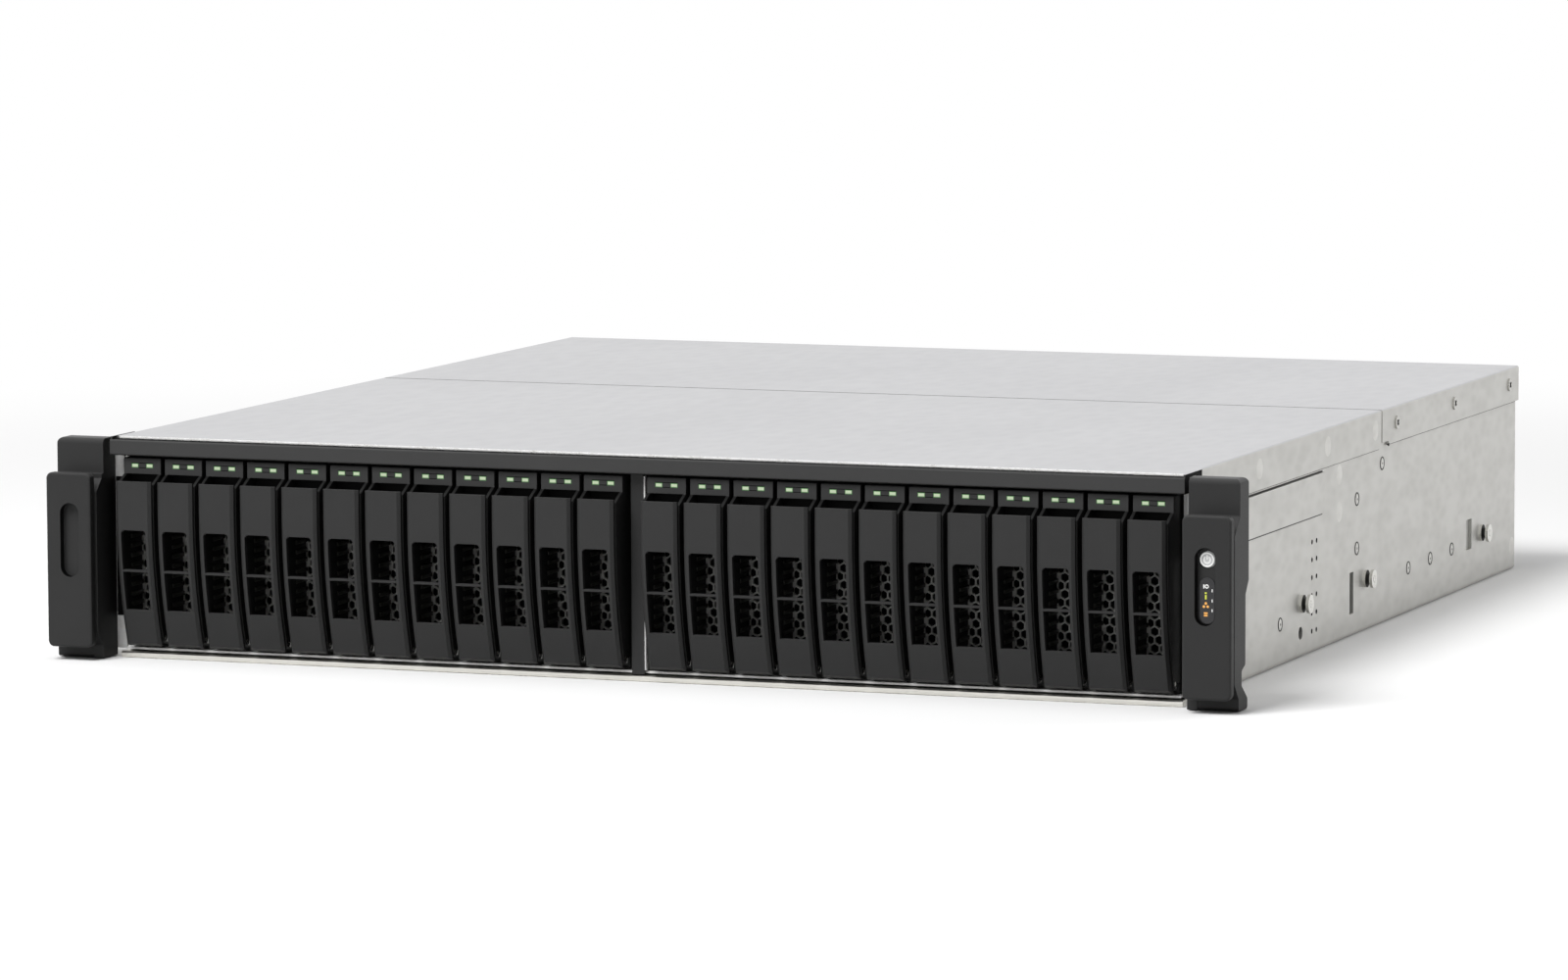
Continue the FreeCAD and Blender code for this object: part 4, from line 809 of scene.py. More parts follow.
def tray_lenses(number, centre):
    """The two bright cores of the lights, a little proud of the head."""
    bm = bmesh.new()
    for x in (centre - LIGHT_OFFSET, centre + LIGHT_OFFSET):
        low = (x - LENS_HALF_WIDTH, HEAD_FRONT - 0.1, LIGHT_LEVEL - LENS_HALF_HEIGHT)
        high = (x + LENS_HALF_WIDTH, HEAD_FRONT + 0.3, LIGHT_LEVEL + LENS_HALF_HEIGHT)
        rounded_block(bm, low, high, 0.18)
    tray_piece(bm, number, "lenses", pipe_core)


def tray_light_grooves(number, centre):
    """Painted shade: thin dark lines for the grooves that frame the strip between the two lights."""
    bm = bmesh.new()
    above = LIGHT_LEVEL + LIGHT_HALF_HEIGHT + 0.16
    below = LIGHT_LEVEL - LIGHT_HALF_HEIGHT + 0.05
    for half, z in ((4.6, above), (1.65, below)):
        low = (centre - half, HEAD_FRONT - 0.03, z - GROOVE_HALF)
        rounded_block(bm, low, (centre + half, HEAD_FRONT + 0.1, z + GROOVE_HALF))
    tray_piece(bm, number, "light_grooves", painted_shade_black)


def tray_ribs(number, centre):
    """The stiffening ribs inside both cheeks, which show through the lever's window."""
    bm = bmesh.new()
    wall = (tray_high.x - tray_low.x) / 2 - CHEEK
    for side in SIDES:
        inner = centre + side * (wall - RIB_DEPTH)
        outer = centre + side * (wall - HAIR)
        for step in range(RIB_COUNT):
            z = RIB_FIRST + RIB_PITCH * step
            rounded_block(bm, (inner, LIP + 0.5, z), (outer, GRILL_FRONT - 0.2, z + RIB_HEIGHT), 0.35)
    tray_piece(bm, number, "ribs", rib_abs)


def tray_label(number, centre):
    """The bare foil label on the drive's flat side, with its rounded corners."""
    bm = bmesh.new()
    x = centre + DRIVE_HALF
    low = (x - SLACK, LABEL_FRONT, LABEL_BOTTOM)
    rounded_plate(bm, low, (x + 0.08, LABEL_BACK, LABEL_TOP), RIGHTWARD, 3.0)
    tray_piece(bm, number, "label", foil)


def tray_screw_drives(number, centre):
    """Painted shade in the cross recesses of the four drive screws in the runners."""
    bm = bmesh.new()
    for y in DRIVE_SCREWS:
        cross_recess(bm, (centre, y, tray_low.z), DOWNWARD, 1.3)
        cross_recess(bm, (centre, y, tray_high.z), UPWARD, 1.3)
    tray_piece(bm, number, "screw_drives", painted_shade_black)


def tray_drive_contacts(number, centre):
    """The drive's plug at its rear end: a black bar with a row of gold contacts."""
    bar = bmesh.new()
    low = (centre - PLUG_HALF, DRIVE_BACK - 0.4, PLUG_BOTTOM)
    rounded_block(bar, low, (centre + PLUG_HALF, DRIVE_BACK + 0.08, PLUG_TOP), 0.07)
    tray_piece(bar, number, "drive_plug", nylon)
    pads = bmesh.new()
    for step in range(CONTACT_COUNT):
        z = CONTACT_FIRST + CONTACT_PITCH * step
        low = (centre - CONTACT_HALF, DRIVE_BACK, z)
        rounded_block(pads, low, (centre + CONTACT_HALF, DRIVE_BACK + 0.14, z + CONTACT_HEIGHT))
    tray_piece(pads, number, "drive_contacts", gold)


# Pieces on the side walls: distances from the front lip with heights, and turned profiles
RIVETS = ((121.5, 16.4), (224.0, 54.3), (224.0, 34.6), (259.0, 65.1), (297.2, 18.6), (329.1, 18.9),
          (361.2, 19.2))
RIVET_DOME = ((0.0, 2.3), (0.08, 2.15), (0.2, 1.3), (0.22, 0.0))
RIVET_MARK = ((0.0, 0.5), (0.07, 0.45), (0.07, 0.0))
WELDS_ON_WALL = ((199.6, 66.4), (199.8, 51.7), (454.4, 10.1))
WELDS_ON_FLANGE = ((91.3, 79.7), (180.5, 79.6), (245.9, 79.5))
WELD_DISC = ((0.0, 4.0), (0.03, 3.8), (0.03, 0.0))
STUD_PLACES = (149.7, 236.0, 406.0)
STUD_HEIGHT = 21.2
STUD_MARK = ((-0.2, 1.5), (0.04, 1.5), (0.04, 1.2), (-0.2, 0.0))
BACK_OVERLAP = 2.0
ARM_FRONT = LIP + 62.0
ARM_BACK = LIP + 176.0
ARM_TOP = 70.0
ARM_BOTTOM = 54.0
FLANGE_BOTTOM = 71.6
FLANGE_BACK = LIP + 253.8
REAR_FLANGE_FRONT = LIP + 265.5
# Painted shadow lines on the side walls: how proud they stand and how tall they are
SHADOW_LINE_PROUD = 0.3
SHADOW_LINE_HEIGHT = 0.5
LOWER_SHADOW_LINE_HEIGHT = 0.7
EAR_GAP_SIDE = 221.3
EAR_GAP_BOTTOM = 16.0
EAR_GAP_TOP = 70.5
COVER_SCREWS = (275.6, 360.2, 444.8)
COVER_SCREW_HEIGHT = 80.1
NOTCH_FRONT = LIP + 263.6
NOTCH_BACK = LIP + 265.2
NOTCH_HEIGHT = 1.2


def side_rivets():
    """Flush clinch studs on both side walls: a domed disc, with painted shade in its centre mark and in a
    ring round it.
    """
    discs = bmesh.new()
    rings = bmesh.new()
    for side in SIDES:
        for y, z in RIVETS:
            base = Vector((side * WALL_OUT, LIP + y, z))
            turned(discs, base, (side, 0, 0), RIVET_DOME)
            ring(rings, base, (side, 0, 0), 2.5, 0.26)
            mark = base + Vector((side * 0.18, 0, 0))
            turned(rings, mark, (side, 0, 0), RIVET_MARK, steps=12)
    chassis_piece(discs, "side_rivets", weld_print)
    chassis_piece(rings, "side_rivet_rings", painted_shade_grey)


def spot_welds():
    """The paler round prints of the spot welds."""
    bm = bmesh.new()
    for side in SIDES:
        for out, places in ((WALL_OUT, WELDS_ON_WALL), (FLANGE_OUT, WELDS_ON_FLANGE)):
            for y, z in places:
                turned(bm, (side * out, LIP + y, z), (side, 0, 0), WELD_DISC)
    chassis_piece(bm, "spot_welds", weld_print)


def stud_waists():
    """The coned waist between each rail stud's collar and its head, in painted shade, and the mark in the
    head.
    """
    waists = bmesh.new()
    near = STUD_COLLAR - 0.1
    far = STUD_HEAD_START + 0.1
    profile = [(near, 2.6), (near + 0.4, 2.15), ((near + far) / 2, 1.95), (far - 0.5, 2.3), (far, 3.3)]
    marks = bmesh.new()
    for side in SIDES:
        for y in STUD_PLACES:
            base = Vector((side * WALL_OUT, LIP + y, STUD_HEIGHT))
            turned(waists, base, (side, 0, 0), profile)
            turned(marks, base + Vector((side * STUD_REACH, 0, 0)), (side, 0, 0), STUD_MARK)
    chassis_piece(waists, "rail_stud_waists", painted_shade_grey)
    chassis_piece(marks, "rail_stud_marks", nickel)


def wall_opening_backs():
    """The inner sheets behind the window and the slot of each side wall, in painted shade, darker behind the
    slot.
    """
    backs = (
        ("wall_slot_backs", painted_shade_grey, WALL_SLOT),
        ("wall_window_backs", shaded_sheet, WALL_WINDOW),
    )
    for name, material, (y, half, bottom, top) in backs:
        bm = bmesh.new()
        reach = half + BACK_OVERLAP
        low = (WALL_IN - 0.6, y - reach, bottom - BACK_OVERLAP)
        side_blocks(bm, low, (WALL_IN - 0.02, y + reach, top + BACK_OVERLAP), 0.1)
        chassis_piece(bm, name, material)


def wall_shadow_line(bm, front, back, bottom, top):
    """A painted shadow line on both side walls, where one sheet meets or overhangs another."""
    side_blocks(bm, (WALL_OUT - SLACK, front, bottom), (WALL_OUT + SHADOW_LINE_PROUD, back, top), 0.08)


def wall_shadow_lines():
    """The painted shadow lines above and below each mounting arm, and under the covers' flanges."""
    arms = bmesh.new()
    upper = ARM_TOP + SLACK
    lower = ARM_BOTTOM - SLACK
    wall_shadow_line(arms, ARM_FRONT, ARM_BACK, upper, upper + SHADOW_LINE_HEIGHT)
    wall_shadow_line(arms, ARM_FRONT, ARM_BACK, lower - LOWER_SHADOW_LINE_HEIGHT, lower)
    wall_shadow_line(arms, ARM_FRONT, FLANGE_BACK, FLANGE_BOTTOM - SHADOW_LINE_HEIGHT, FLANGE_BOTTOM - SLACK)
    chassis_piece(arms, "arm_shadow_lines", painted_shade_grey)
    flanges = bmesh.new()
    bottom = cover_low.z - SHADOW_LINE_HEIGHT
    wall_shadow_line(flanges, REAR_FLANGE_FRONT, REAR_WALL - 1.0, bottom, cover_low.z - SLACK)
    chassis_piece(flanges, "rear_flange_shadow_lines", painted_shade_grey)


def ear_painted_shadow_strips():
    """A painted shadow: a dark strip in the gap between each ear's moulding and the side wall, in front of
    its bracket.
    """
    bm = bmesh.new()
    low = (WALL_OUT + SLACK, EAR_BACK - 0.15, EAR_GAP_BOTTOM)
    side_blocks(bm, low, (EAR_GAP_SIDE, EAR_BACK, EAR_GAP_TOP))
    chassis_piece(bm, "ear_painted_shadow_strips", painted_shade_black)


def cover_screw_drives():
    """Painted shade in the cross recesses of the cover screws and in the cut corners of the cover's flanges.
    """
    bm = bmesh.new()
    for side in SIDES:
        for y in COVER_SCREWS:
            head = (side * (cover_high.x + 0.005), LIP + y, COVER_SCREW_HEIGHT)
            cross_recess(bm, head, (side, 0, 0), 1.4)
    low = (FLANGE_OUT - 0.1, NOTCH_FRONT, FLANGE_BOTTOM)
    side_blocks(bm, low, (FLANGE_OUT + 0.02, NOTCH_BACK, FLANGE_BOTTOM + NOTCH_HEIGHT))
    set_piece(bm, "cover_screw_drives", "rear_cover", painted_shade_black)


def centre_post_face():
    """The foot of the centre post between the two banks, and a painted highlight on the bare sheet edge
    beside the post.
    """
    foot = bmesh.new()
    low = (-POST_HALF, LIP + 0.7, 2.75)
    rounded_block(foot, low, (POST_HALF, LIP + 1.9, POST_BOTTOM + 0.2), 0.15)
    chassis_piece(foot, "centre_post_foot", ear_abs)
    edge = bmesh.new()
    low = (POST_HALF, LIP + 0.75, POST_BOTTOM + 0.3)
    rounded_block(edge, low, (POST_HALF + 0.65, LIP + 3.0, POST_TOP), 0.12)
    chassis_piece(edge, "centre_sheet_edge", painted_highlight_white)


# Pieces on the right ear
SYMBOL_STEPS = 26
SYMBOL_GAP = math.radians(34)
SYMBOL_INNER = 1.05
SYMBOL_OUTER = 1.4
SYMBOL_THICKNESS = 0.05
BAR_HALF = 0.17
WINDOW_X = 231.3
WINDOW_HALF = 2.95
WINDOW_BOTTOM = 33.4
WINDOW_TOP = 50.6
WINDOW_FRONT = EAR_FRONT + 2.5
MARKS_X = WINDOW_X - 0.5
MARKS_BACK = WINDOW_FRONT + 0.02
MARKS_FRONT = WINDOW_FRONT - 0.06
AMBER_DOTS = ((0.0, 41.0), (-0.75, 39.8), (0.75, 39.8))
AMBER_DOT = ((0.0, 0.52), (0.08, 0.48), (0.08, 0.0))


def power_symbol():
    """A broken ring and a bar on the power button, and the ring round its rim."""
    centre = (button_low + button_high) / 2
    front = button_low.y
    bm = bmesh.new()
    points = []
    for k in range(SYMBOL_STEPS + 1):
        turn = math.pi / 2 + SYMBOL_GAP + (math.tau - 2 * SYMBOL_GAP) * k / SYMBOL_STEPS
        points.append(Vector((math.cos(turn), 0, math.sin(turn))))
    middle = Vector((centre.x, front, centre.z))
    for one, two in zip(points, points[1:]):
        corners = [middle + one * SYMBOL_INNER, middle + two * SYMBOL_INNER,
                   middle + two * SYMBOL_OUTER, middle + one * SYMBOL_OUTER]
        slab(bm, corners, (0, -SYMBOL_THICKNESS, 0))
    low = (centre.x - BAR_HALF, front - SYMBOL_THICKNESS, centre.z + 0.2)
    rounded_block(bm, low, (centre.x + BAR_HALF, front, centre.z + 1.7))
    set_piece(bm, "power_symbol", "power_button", white_print)
    rim = bmesh.new()
    ring(rim, (centre.x, front + 0.2, centre.z), FORWARD, 2.45, 0.28)
    set_piece(rim, "power_button_rim", "power_button", white_print)


def status_window():
    """The raised smoked pill below the button, in the well of the ear."""
    bm = bmesh.new()
    low = (WINDOW_X - WINDOW_HALF, WINDOW_FRONT, WINDOW_BOTTOM)
    high = (WINDOW_X + WINDOW_HALF, WINDOW_FRONT + 0.6, WINDOW_TOP)
    rounded_plate(bm, low, high, BACKWARD, WINDOW_HALF - SLACK, 0.15)
    chassis_piece(bm, "status_window", smoked)


def status_mark(bm, left, right, bottom, top):
    """A small flat mark on the status window, from the middle of the marks."""
    low = (MARKS_X + left, MARKS_FRONT, bottom)
    rounded_block(bm, low, (MARKS_X + right, MARKS_BACK, top))


def status_marks():
    """Small printed and lit marks on the status window."""
    white = bmesh.new()
    status_mark(white, -0.95, -0.55, 46.5, 48.0)
    ring(white, (MARKS_X + 0.4, WINDOW_FRONT, 47.25), FORWARD, 0.6, 0.17, 14)
    for z in (45.8, 42.0, 38.4):
        status_mark(white, 2.3, 2.6, z - 0.55, z + 0.55)
    chassis_piece(white, "status_prints", white_print)
    lime = bmesh.new()
    status_mark(lime, -0.35, 0.35, 44.5, 45.1)
    status_mark(lime, -0.3, 0.3, 42.5, 44.1)
    chassis_piece(lime, "status_light_lime", lime_light)
    amber = bmesh.new()
    for dx, z in AMBER_DOTS:
        turned(amber, (MARKS_X + dx, MARKS_BACK, z), FORWARD, AMBER_DOT, steps=12)
    for z in (36.5, 37.4):
        status_mark(amber, -0.7, 0.7, z - 0.3, z + 0.3)
    chassis_piece(amber, "status_lights_amber", amber_light)


# Pieces on the rear panel
SLOT_COVERS = (90.3, 110.6)
SLOT_COVER_HALF = 9.2
SLOT_COVER_BOTTOM = 9.0
SLOT_COVER_TOP = 78.0
SLOT_COVER_FACE = REAR_WALL + 0.8
SLIT_COUNT = 10
SLIT_FIRST = 14.0
SLIT_PITCH = 5.4
SLIT_HALF = 6.0
SLIT_HEIGHT = 2.2
BLANK_LEFT = 140.5
BLANK_RIGHT = 210.5
BLANK_BOTTOM = 45.5
BLANK_TOP = 78.5
BLANK_FACE = REAR_WALL + 1.0
TAB_HALF = 11.0
JACKS = (-176.25, -153.25)
JACK_PITCH = 1.02
MODULE_CAGES = (-130.25, -107.65)
FINGER_PITCH = 2.7
BUS_SOCKET = -85.05
BUS_PITCH = 2.33
REAR_RIVETS = ((-211.0, 14.0), (-211.0, 44.0), (-211.0, 72.0), (133.0, 20.0), (133.0, 60.0),
               (-60.0, 30.0), (20.0, 30.0))
FLAT_RIVET = ((0.0, 2.4), (0.35, 2.2), (0.5, 1.6), (0.5, 0.0))
VENT_DISC = ((0.0, 1.35), (0.13, 1.35), (0.13, 0.0))
VENT_COLUMNS = 8
VENT_ROWS = 6
HANDLE_ROOM = 16.4
INLET_BLADES = ((-7.0, 19.0), (0.0, 23.6), (7.0, 19.0))
LAMP_DOME = ((0.0, 1.5), (0.3, 1.4), (0.55, 0.9), (0.65, 0.0))


def slot_covers():
    """The two plain covers of the expansion slots, each with its row of slits in painted shade and a screw.
    """
    plates = bmesh.new()
    slits = bmesh.new()
    places = []
    for x in SLOT_COVERS:
        low = (x - SLOT_COVER_HALF, REAR_WALL - SLACK, SLOT_COVER_BOTTOM)
        high = (x + SLOT_COVER_HALF, SLOT_COVER_FACE, SLOT_COVER_TOP)
        rounded_plate(plates, low, high, BACKWARD, 1.2, 0.25)
        for step in range(SLIT_COUNT):
            z = SLIT_FIRST + SLIT_PITCH * step
            low = (x - SLIT_HALF, SLOT_COVER_FACE - 0.2, z)
            high = (x + SLIT_HALF, SLOT_COVER_FACE + 0.04, z + SLIT_HEIGHT)
            rounded_plate(slits, low, high, BACKWARD, SLIT_HEIGHT / 2 - SLACK)
        places.append((x, SLOT_COVER_FACE, 73.2))
    chassis_piece(plates, "slot_covers", galvanised)
    chassis_piece(slits, "slot_cover_slits", painted_shade_black)
    screws("slot_cover_screws", places, BACKWARD, 2.9)


def blank_bay_plate():
    """The plate over the second supply's place: a pressed frame, a finger tab and two screws."""
    bm = bmesh.new()
    low = (BLANK_LEFT, REAR_WALL - SLACK, BLANK_BOTTOM)
    rounded_plate(bm, low, (BLANK_RIGHT, BLANK_FACE, BLANK_TOP), BACKWARD, 2.0, 0.3)
    low = (BLANK_LEFT + 8, BLANK_FACE - 0.1, BLANK_BOTTOM + 6)
    rounded_plate(bm, low, (BLANK_RIGHT - 8, BLANK_FACE + 0.6, BLANK_TOP - 6), BACKWARD, 3.0, 0.5)
    middle = (BLANK_LEFT + BLANK_RIGHT) / 2
    low = (middle - TAB_HALF, BLANK_FACE + 0.4, 60.5)
    rounded_block(bm, low, (middle + TAB_HALF, BLANK_FACE + 6.0, 62.5), 0.7)
    chassis_piece(bm, "blank_bay_plate", galvanised)
    level = (BLANK_BOTTOM + BLANK_TOP) / 2
    places = [(BLANK_LEFT + 4, BLANK_FACE, level), (BLANK_RIGHT - 4, BLANK_FACE, level)]
    screws("blank_bay_screws", places, BACKWARD, 2.6)


def port_contacts():
    """Spring contacts and lights in the network jacks, and the tongue of the bus socket."""
    contacts = bmesh.new()
    lights = bmesh.new()
    for left in JACKS:
        for step in range(8):
            x = left + 4.4 + JACK_PITCH * step
            rounded_block(contacts, (x - 0.22, REAR_WALL - 13, 18.4), (x + 0.22, REAR_WALL - 2.5, 18.9), 0.1)
        for x in (left + 2.6, left + 13.4):
            rounded_block(lights, (x - 1.2, REAR_WALL - 4, 10.1), (x + 1.2, REAR_WALL - 0.3, 11.5), 0.2)
    tongue = bmesh.new()
    low = (BUS_SOCKET + 2.6, REAR_WALL - 13.5, BOARD_TOP + 3.2)
    rounded_block(tongue, low, (BUS_SOCKET + 12.4, REAR_WALL - 1.2, BOARD_TOP + 5.0), 0.3)
    for step in range(4):
        x = BUS_SOCKET + 4.0 + BUS_PITCH * step
        rounded_block(contacts, (x - 0.5, REAR_WALL - 11, 11.9), (x + 0.5, REAR_WALL - 2.0, 12.03))
    board_piece(contacts, "port_contacts", gold)
    board_piece(lights, "jack_lights", green_light)
    board_piece(tongue, "bus_socket_tongue", blue_nylon)


def cage_fingers():
    """The bright spring fingers round the mouths of the module cages."""
    bm = bmesh.new()
    for left in MODULE_CAGES:
        for step in range(5):
            x = left + 2.4 + FINGER_PITCH * step
            for z in (BOARD_TOP + 1.2, BOARD_TOP + 9.1):
                rounded_block(bm, (x - 0.8, REAR_WALL - 5, z), (x + 0.8, REAR_WALL - 0.4, z + 0.7), 0.25)
    board_piece(bm, "cage_fingers", nickel)


def rear_rivets():
    """The flat rivets that hold the rear panel to the pan, and its ground screw."""
    bm = bmesh.new()
    for x, z in REAR_RIVETS:
        turned(bm, (x, REAR_WALL - 0.02, z), BACKWARD, FLAT_RIVET)
    chassis_piece(bm, "rear_rivets", nickel)
    screws("ground_screw", [(-196.0, REAR_WALL, 30.0)], BACKWARD, 3.4)


def supply_rear():
    """The supply's rear face: round perforations in painted shade, inlet blades, a status light and the
    tab's ribs.
    """
    holes = bmesh.new()
    for column in range(VENT_COLUMNS):
        for row in range(VENT_ROWS):
            x = supply_low.x + 3.6 + 3.6 * column
            z = supply_low.z + 3.2 + 3.4 * row
            if row >= VENT_ROWS / 2:
                z += HANDLE_ROOM
            turned(holes, (x, SUPPLY_FACE - 0.1, z), BACKWARD, VENT_DISC, steps=14)
    supply_piece(holes, "supply_vents", painted_shade_black)
    blades = bmesh.new()
    for dx, z in INLET_BLADES:
        x = (INLET_LEFT + INLET_RIGHT) / 2 + dx
        low = (x - 1.0, SUPPLY_FACE - 15.9, z - 2.2)
        rounded_block(blades, low, (x + 1.0, SUPPLY_FACE - 1.5, z + 2.2), 0.4)
    supply_piece(blades, "supply_inlet_blades", nickel)
    light = bmesh.new()
    turned(light, (supply_low.x + 24.5, SUPPLY_FACE - SLACK, 21.5), BACKWARD, LAMP_DOME, steps=18)
    supply_piece(light, "supply_status_light", green_light)
    grip = bmesh.new()
    for step in range(4):
        z = 16.4 + 3.0 * step
        low = (supply_low.x + 8.9, SUPPLY_FACE + 3.0, z)
        rounded_block(grip, low, (supply_low.x + 19.1, SUPPLY_FACE + 8.6, z + 1.2), 0.4)
    supply_piece(grip, "supply_latch_ribs", release_nylon)


# Pieces on the main board: places across it, and distances from its front edge
CHIPS = ((-165.0, 60.0, 19.0, 1.6), (-150.0, 128.0, 24.0, 1.8), (-182.0, 150.0, 14.0, 1.4),
         (70.0, 125.0, 17.0, 1.5), (30.0, 172.0, 12.0, 1.2), (-62.0, 178.0, 15.0, 1.3),
         (-98.0, 186.0, 10.0, 1.2))
BOARD_SCREWS = ((-198.25, 12.0), (-39.4, 12.0), (119.45, 12.0), (-198.25, 108.0), (119.45, 108.0),
                (-198.25, 204.0), (-39.4, 204.0), (119.45, 204.0))
CAN = ((0.0, 4.0), (0.9, 4.0), (1.3, 3.7), (1.7, 4.0), (10.4, 4.0), (11.0, 3.4), (10.8, 3.0), (10.8, 0.0))
COIN_CELL = ((1.0, 9.6), (4.0, 10.0), (4.4, 9.6), (4.4, 0.0))
CELL_HOLDER = ((0.0, 11.8), (2.8, 11.8), (3.2, 11.2), (3.2, 10.3), (0.0, 10.3))
CELL_PLACE = (60.0, BOARD_FRONT + 176.0, BOARD_TOP)
CHOKES_FIRST = -76.0
STORAGE_SOCKETS = (20.0, 52.0, 84.0)


def board_block(bm, low, high, edge=0.0, segments=2):
    """A block on the main board, from places across it, distances from its front edge and heights on it."""
    base = Vector((0, BOARD_FRONT, BOARD_TOP))
    rounded_block(bm, base + Vector(low), base + Vector(high), edge, segments)


def memory_details():
    """The chips on both faces of each memory module, and the latches of its socket."""
    chips = bmesh.new()
    latches = bmesh.new()
    for bank in SIDES:
        for place in range(MEMORY_PER_SIDE):
            x = SINK_X + bank * (MEMORY_FIRST + MEMORY_PITCH * place)
            for side in SIDES:
                for step in range(9):
                    y = MEMORY_START + 11.0 + 12.6 * step
                    rounded_block(chips, (x + side * 0.75, y, 23.5), (x + side * 1.75, y + 9.4, 36.5))
            for y in (MEMORY_START - 9.0, MEMORY_START + MEMORY_LENGTH + 3.4):
                rounded_block(latches, (x - 2.9, y, BOARD_TOP), (x + 2.9, y + 5.6, 27.0), 0.8)
    board_piece(chips, "memory_chips", epoxy)
    board_piece(latches, "memory_latches", ivory_nylon)


def board_chips():
    """The flat black chips, the chokes and the storage module of the main board."""
    bm = bmesh.new()
    for x, y, size, height in CHIPS:
        half = size / 2
        board_block(bm, (x - half, y - half, 0), (x + half, y + half, height), 0.2, 1)
    for step in range(9):
        x = CHOKES_FIRST + 9.0 * step
        for y in (29.0, 131.0):
            board_block(bm, (x - 3.6, y, 0), (x + 3.6, y + 7.2, 6.5), 0.6)
    for y in (56.0, 78.0, 100.0):
        board_block(bm, (-189.0, y, 4.7), (-173.0, y + 14.0, 6.0), 0.2, 1)
    board_piece(bm, "board_chips", epoxy)
    card = bmesh.new()
    board_block(card, (-192.0, 50.0, 3.9), (-170.0, 130.0, 4.7), 0.1, 1)
    board_piece(card, "storage_card", mask_green)


def board_cans():
    """The capacitor cans behind the heat sink, and the coin cell in its holder."""
    cans = bmesh.new()
    for step in range(7):
        turned(cans, (CHOKES_FIRST + 12.0 * step, BOARD_FRONT + 148.0, BOARD_TOP), UPWARD, CAN, steps=20)
    turned(cans, CELL_PLACE, UPWARD, COIN_CELL)
    board_piece(cans, "board_cans", sink_alloy)
    holder = bmesh.new()
    turned(holder, CELL_PLACE, UPWARD, CELL_HOLDER, closed=True)
    board_piece(holder, "coin_cell_holder", nylon)


def board_sockets():
    """The expansion slots, the power header, the storage sockets, and painted shade in their mouths."""
    bodies = bmesh.new()
    mouths = bmesh.new()
    for x in SLOT_COVERS:
        low = (x - 3.7, BOARD_BACK - 104.0, BOARD_TOP)
        rounded_block(bodies, low, (x + 3.7, BOARD_BACK - 14.0, BOARD_TOP + 11.0), 0.6)
        low = (x - 0.9, BOARD_BACK - 101.0, BOARD_TOP + 10.9)
        rounded_block(mouths, low, (x + 0.9, BOARD_BACK - 17.0, BOARD_TOP + 11.04))
    board_piece(bodies, "expansion_sockets", nylon)
    header = bmesh.new()
    board_block(header, (-192.0, 4.0, 0), (-140.0, 13.0, 12.5), 0.6)
    for column in range(12):
        for row in range(2):
            x = -189.1 + 4.2 * column
            y = 4.8 + 4.2 * row
            board_block(mouths, (x - 1.3, y, 12.4), (x + 1.3, y + 2.6, 12.54))
    board_piece(header, "power_header", ivory_nylon)
    shells = bmesh.new()
    for left in STORAGE_SOCKETS:
        board_block(shells, (left, 2.0, 0), (left + 25.0, 14.0, 8.0), 0.5)
        board_block(mouths, (left + 2.0, 1.9, 1.6), (left + 23.0, 2.1, 6.4))
    board_piece(shells, "storage_sockets", nickel)
    board_piece(mouths, "socket_mouths", painted_shade_black)


def board_screws():
    """The screws that hold the main board to its pillars."""
    places = [(x, BOARD_FRONT + y, BOARD_TOP) for x, y in BOARD_SCREWS]
    screws("board_screws", places, UPWARD, 3.1)


# Stage, in metres
FLOOR_HALF = 30.0


def make_camera():
    """The camera at the photograph's place."""
    data = bpy.data.cameras.new("camera")
    data.sensor_width = SENSOR_WIDTH
    data.lens = FOCAL_PIXELS / IMAGE_WIDTH * SENSOR_WIDTH
    data.clip_end = 100.0
    flat = math.cos(CAMERA_DOWN)
    across = math.sin(CAMERA_AZIMUTH) * flat
    inward = math.cos(CAMERA_AZIMUTH) * flat
    forward = Vector((across, inward, -math.sin(CAMERA_DOWN)))
    right = forward.cross(Vector(UPWARD)).normalized()
    up = right.cross(forward)
    tilted_right = right * math.cos(CAMERA_ROLL) + up * math.sin(CAMERA_ROLL)
    tilted_up = up * math.cos(CAMERA_ROLL) - right * math.sin(CAMERA_ROLL)
    camera = bpy.data.objects.new("camera", data)
    turn = Matrix((tilted_right, tilted_up, -forward)).transposed().to_4x4()
    camera.matrix_world = Matrix.Translation(CAMERA_PLACE * MM) @ turn
    bpy.context.scene.collection.objects.link(camera)
    bpy.context.scene.camera = camera


def shown_rays(tree):
    """One where the camera, a mirror or glass looks, and nought where light is gathered."""
    path = add(tree, "ShaderNodeLightPath", {}, {})
    seen = add(tree, "ShaderNodeMath", {"operation": "MAXIMUM"},
               {0: path.outputs["Is Camera Ray"], 1: path.outputs["Is Glossy Ray"]})
    shown = add(tree, "ShaderNodeMath", {"operation": "MAXIMUM"},
                {0: seen.outputs[0], 1: path.outputs["Is Transmission Ray"]})
    return shown.outputs[0]


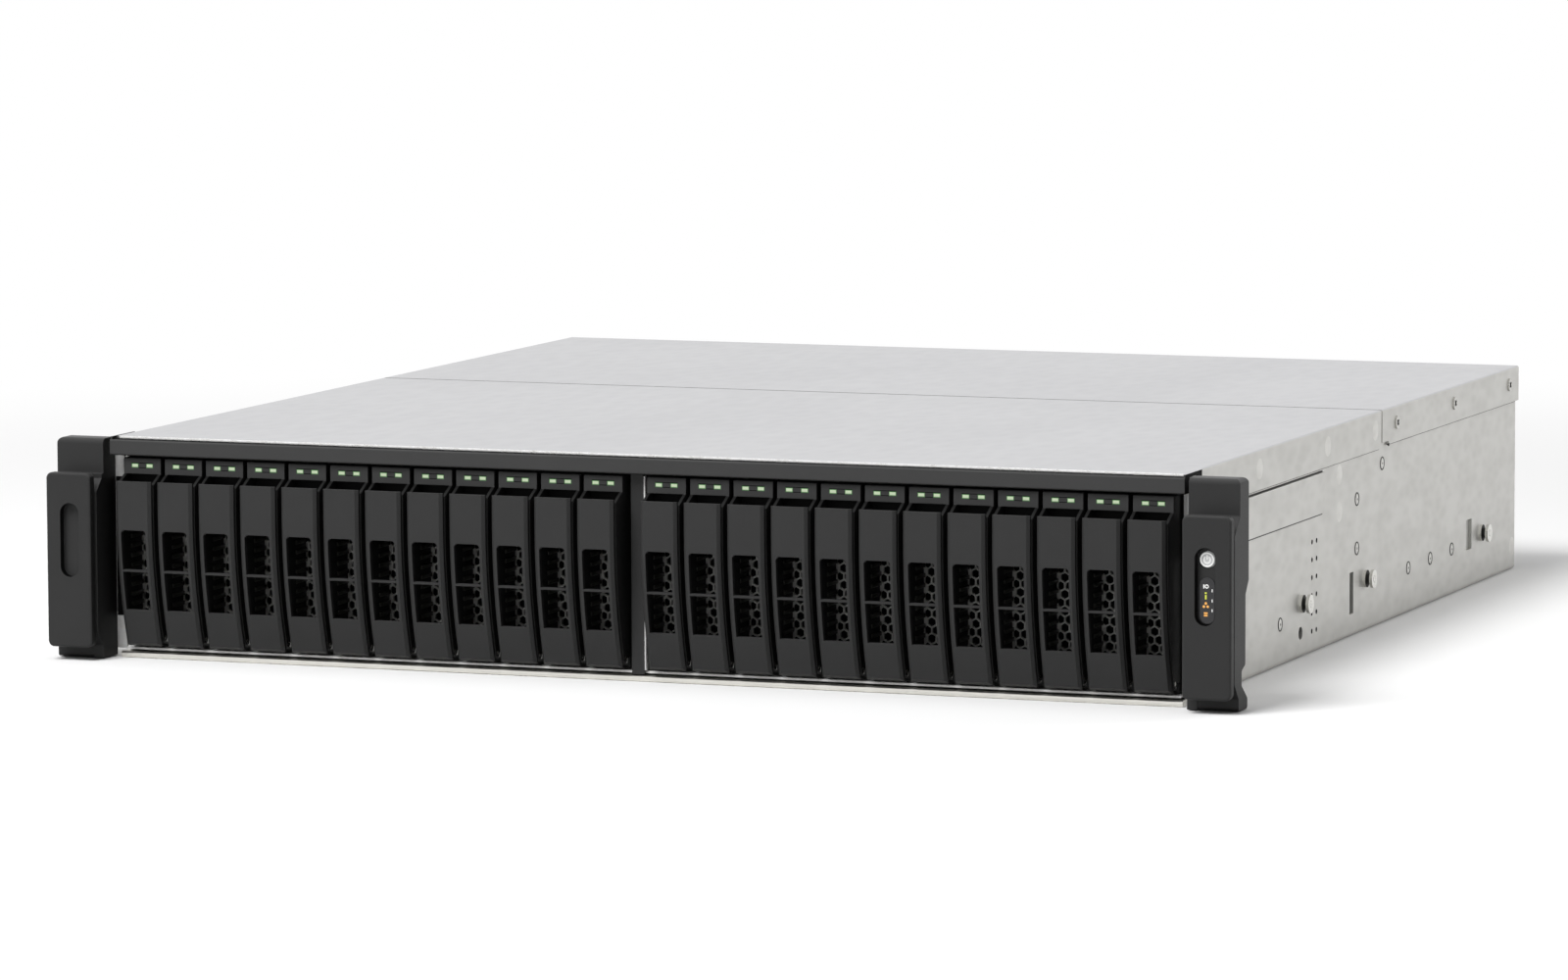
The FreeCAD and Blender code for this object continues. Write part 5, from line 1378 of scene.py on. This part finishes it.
def make_floor():
    """A plain white floor that keeps the object's soft shadow near it and runs into white far out."""
    material, tree, place = start("white_studio_floor")
    shown = shown_rays(tree)
    speckle = add(tree, "ShaderNodeTexNoise", {}, {"Vector": place, "Scale": per_metre(400.0)})
    tint = add(tree, "ShaderNodeMix", {"data_type": "RGBA"},
               {"Factor": speckle.outputs["Fac"], 6: colour("#F8F8F8"), 7: colour("#FCFCFC")})
    albedo = add(tree, "ShaderNodeMix", {"data_type": "RGBA"},
                 {"Factor": shown, 6: colour("#7C7C7C"), 7: tint.outputs[2]})
    near = add(tree, "ShaderNodeBsdfDiffuse", {}, {"Color": albedo.outputs[2]})
    white = add(tree, "ShaderNodeEmission", {}, {"Color": colour("#FFFFFF"), "Strength": 1.0})
    away = add(tree, "ShaderNodeVectorMath", {"operation": "LENGTH"}, {0: place})
    far = add(tree, "ShaderNodeMapRange", {"interpolation_type": "SMOOTHSTEP"},
              {"Value": away.outputs["Value"], "From Min": 0.45, "From Max": 1.1})
    blend = add(tree, "ShaderNodeMath", {"operation": "MULTIPLY"}, {0: far.outputs["Result"], 1: shown})
    both = add(tree, "ShaderNodeMixShader", {},
               {0: blend.outputs[0], 1: near.outputs["BSDF"], 2: white.outputs["Emission"]})
    add(tree, "ShaderNodeOutputMaterial", {}, {"Surface": both.outputs["Shader"]})
    bm = bmesh.new()
    bmesh.ops.create_grid(bm, x_segments=1, y_segments=1, size=FLOOR_HALF)
    mesh = bpy.data.meshes.new("floor")
    bm.to_mesh(mesh)
    bm.free()
    mesh.materials.append(material)
    floor = bpy.data.objects.new("floor", mesh)
    bpy.context.scene.collection.objects.link(floor)


def make_world():
    """A white studio: full white where it is seen directly or mirrored, softer as light."""
    world = bpy.data.worlds.new("studio")
    bpy.context.scene.world = world
    world.use_nodes = True
    tree = world.node_tree
    tree.nodes.clear()
    level = add(tree, "ShaderNodeMapRange", {},
                {"Value": shown_rays(tree), "To Min": 0.24, "To Max": 1.0})
    light = add(tree, "ShaderNodeBackground", {},
                {"Color": colour("#FFFFFF"), "Strength": level.outputs["Result"]})
    add(tree, "ShaderNodeOutputWorld", {}, {"Surface": light.outputs["Background"]})


def make_lamp(name, place, size, power, mirrored):
    """A square softbox that faces the object, which metal mirrors only where it is to."""
    data = bpy.data.lights.new(name, "AREA")
    data.size = size
    data.energy = power
    lamp = bpy.data.objects.new(name, data)
    lamp.location = place
    lamp.rotation_euler = (-Vector(place)).to_track_quat("-Z", "Y").to_euler()
    lamp.visible_glossy = mirrored
    bpy.context.scene.collection.objects.link(lamp)


make_camera()
make_world()
make_floor()
make_lamp("overhead_softbox", (-0.3, -0.2, 2.6), 1.8, 12.0, True)
make_lamp("key_softbox", (-0.7, -1.8, 2.4), 1.4, 80.0, False)
make_lamp("side_fill", (1.9, 1.7, 1.2), 1.2, 18.0, False)
bpy.context.scene.view_settings.view_transform = "Standard"

for finish_node in (dress_pan, dress_cage, dress_covers, dress_ears, dress_boards, dress_supply):
    finish_node()
for number in TRAY_NUMBERS:
    low, high = span("drive_tray_%02d" % number)
    for make in (dress_tray, tray_lenses, tray_light_grooves, tray_ribs, tray_label, tray_screw_drives,
                 tray_drive_contacts):
        make(number, (low.x + high.x) / 2)
for make in (side_rivets, spot_welds, stud_waists, wall_opening_backs, wall_shadow_lines, ear_painted_shadow_strips,
             cover_screw_drives, centre_post_face, power_symbol, status_window, status_marks, slot_covers,
             blank_bay_plate, port_contacts, cage_fingers, rear_rivets, supply_rear, memory_details,
             board_chips, board_cans, board_sockets, board_screws):
    make()
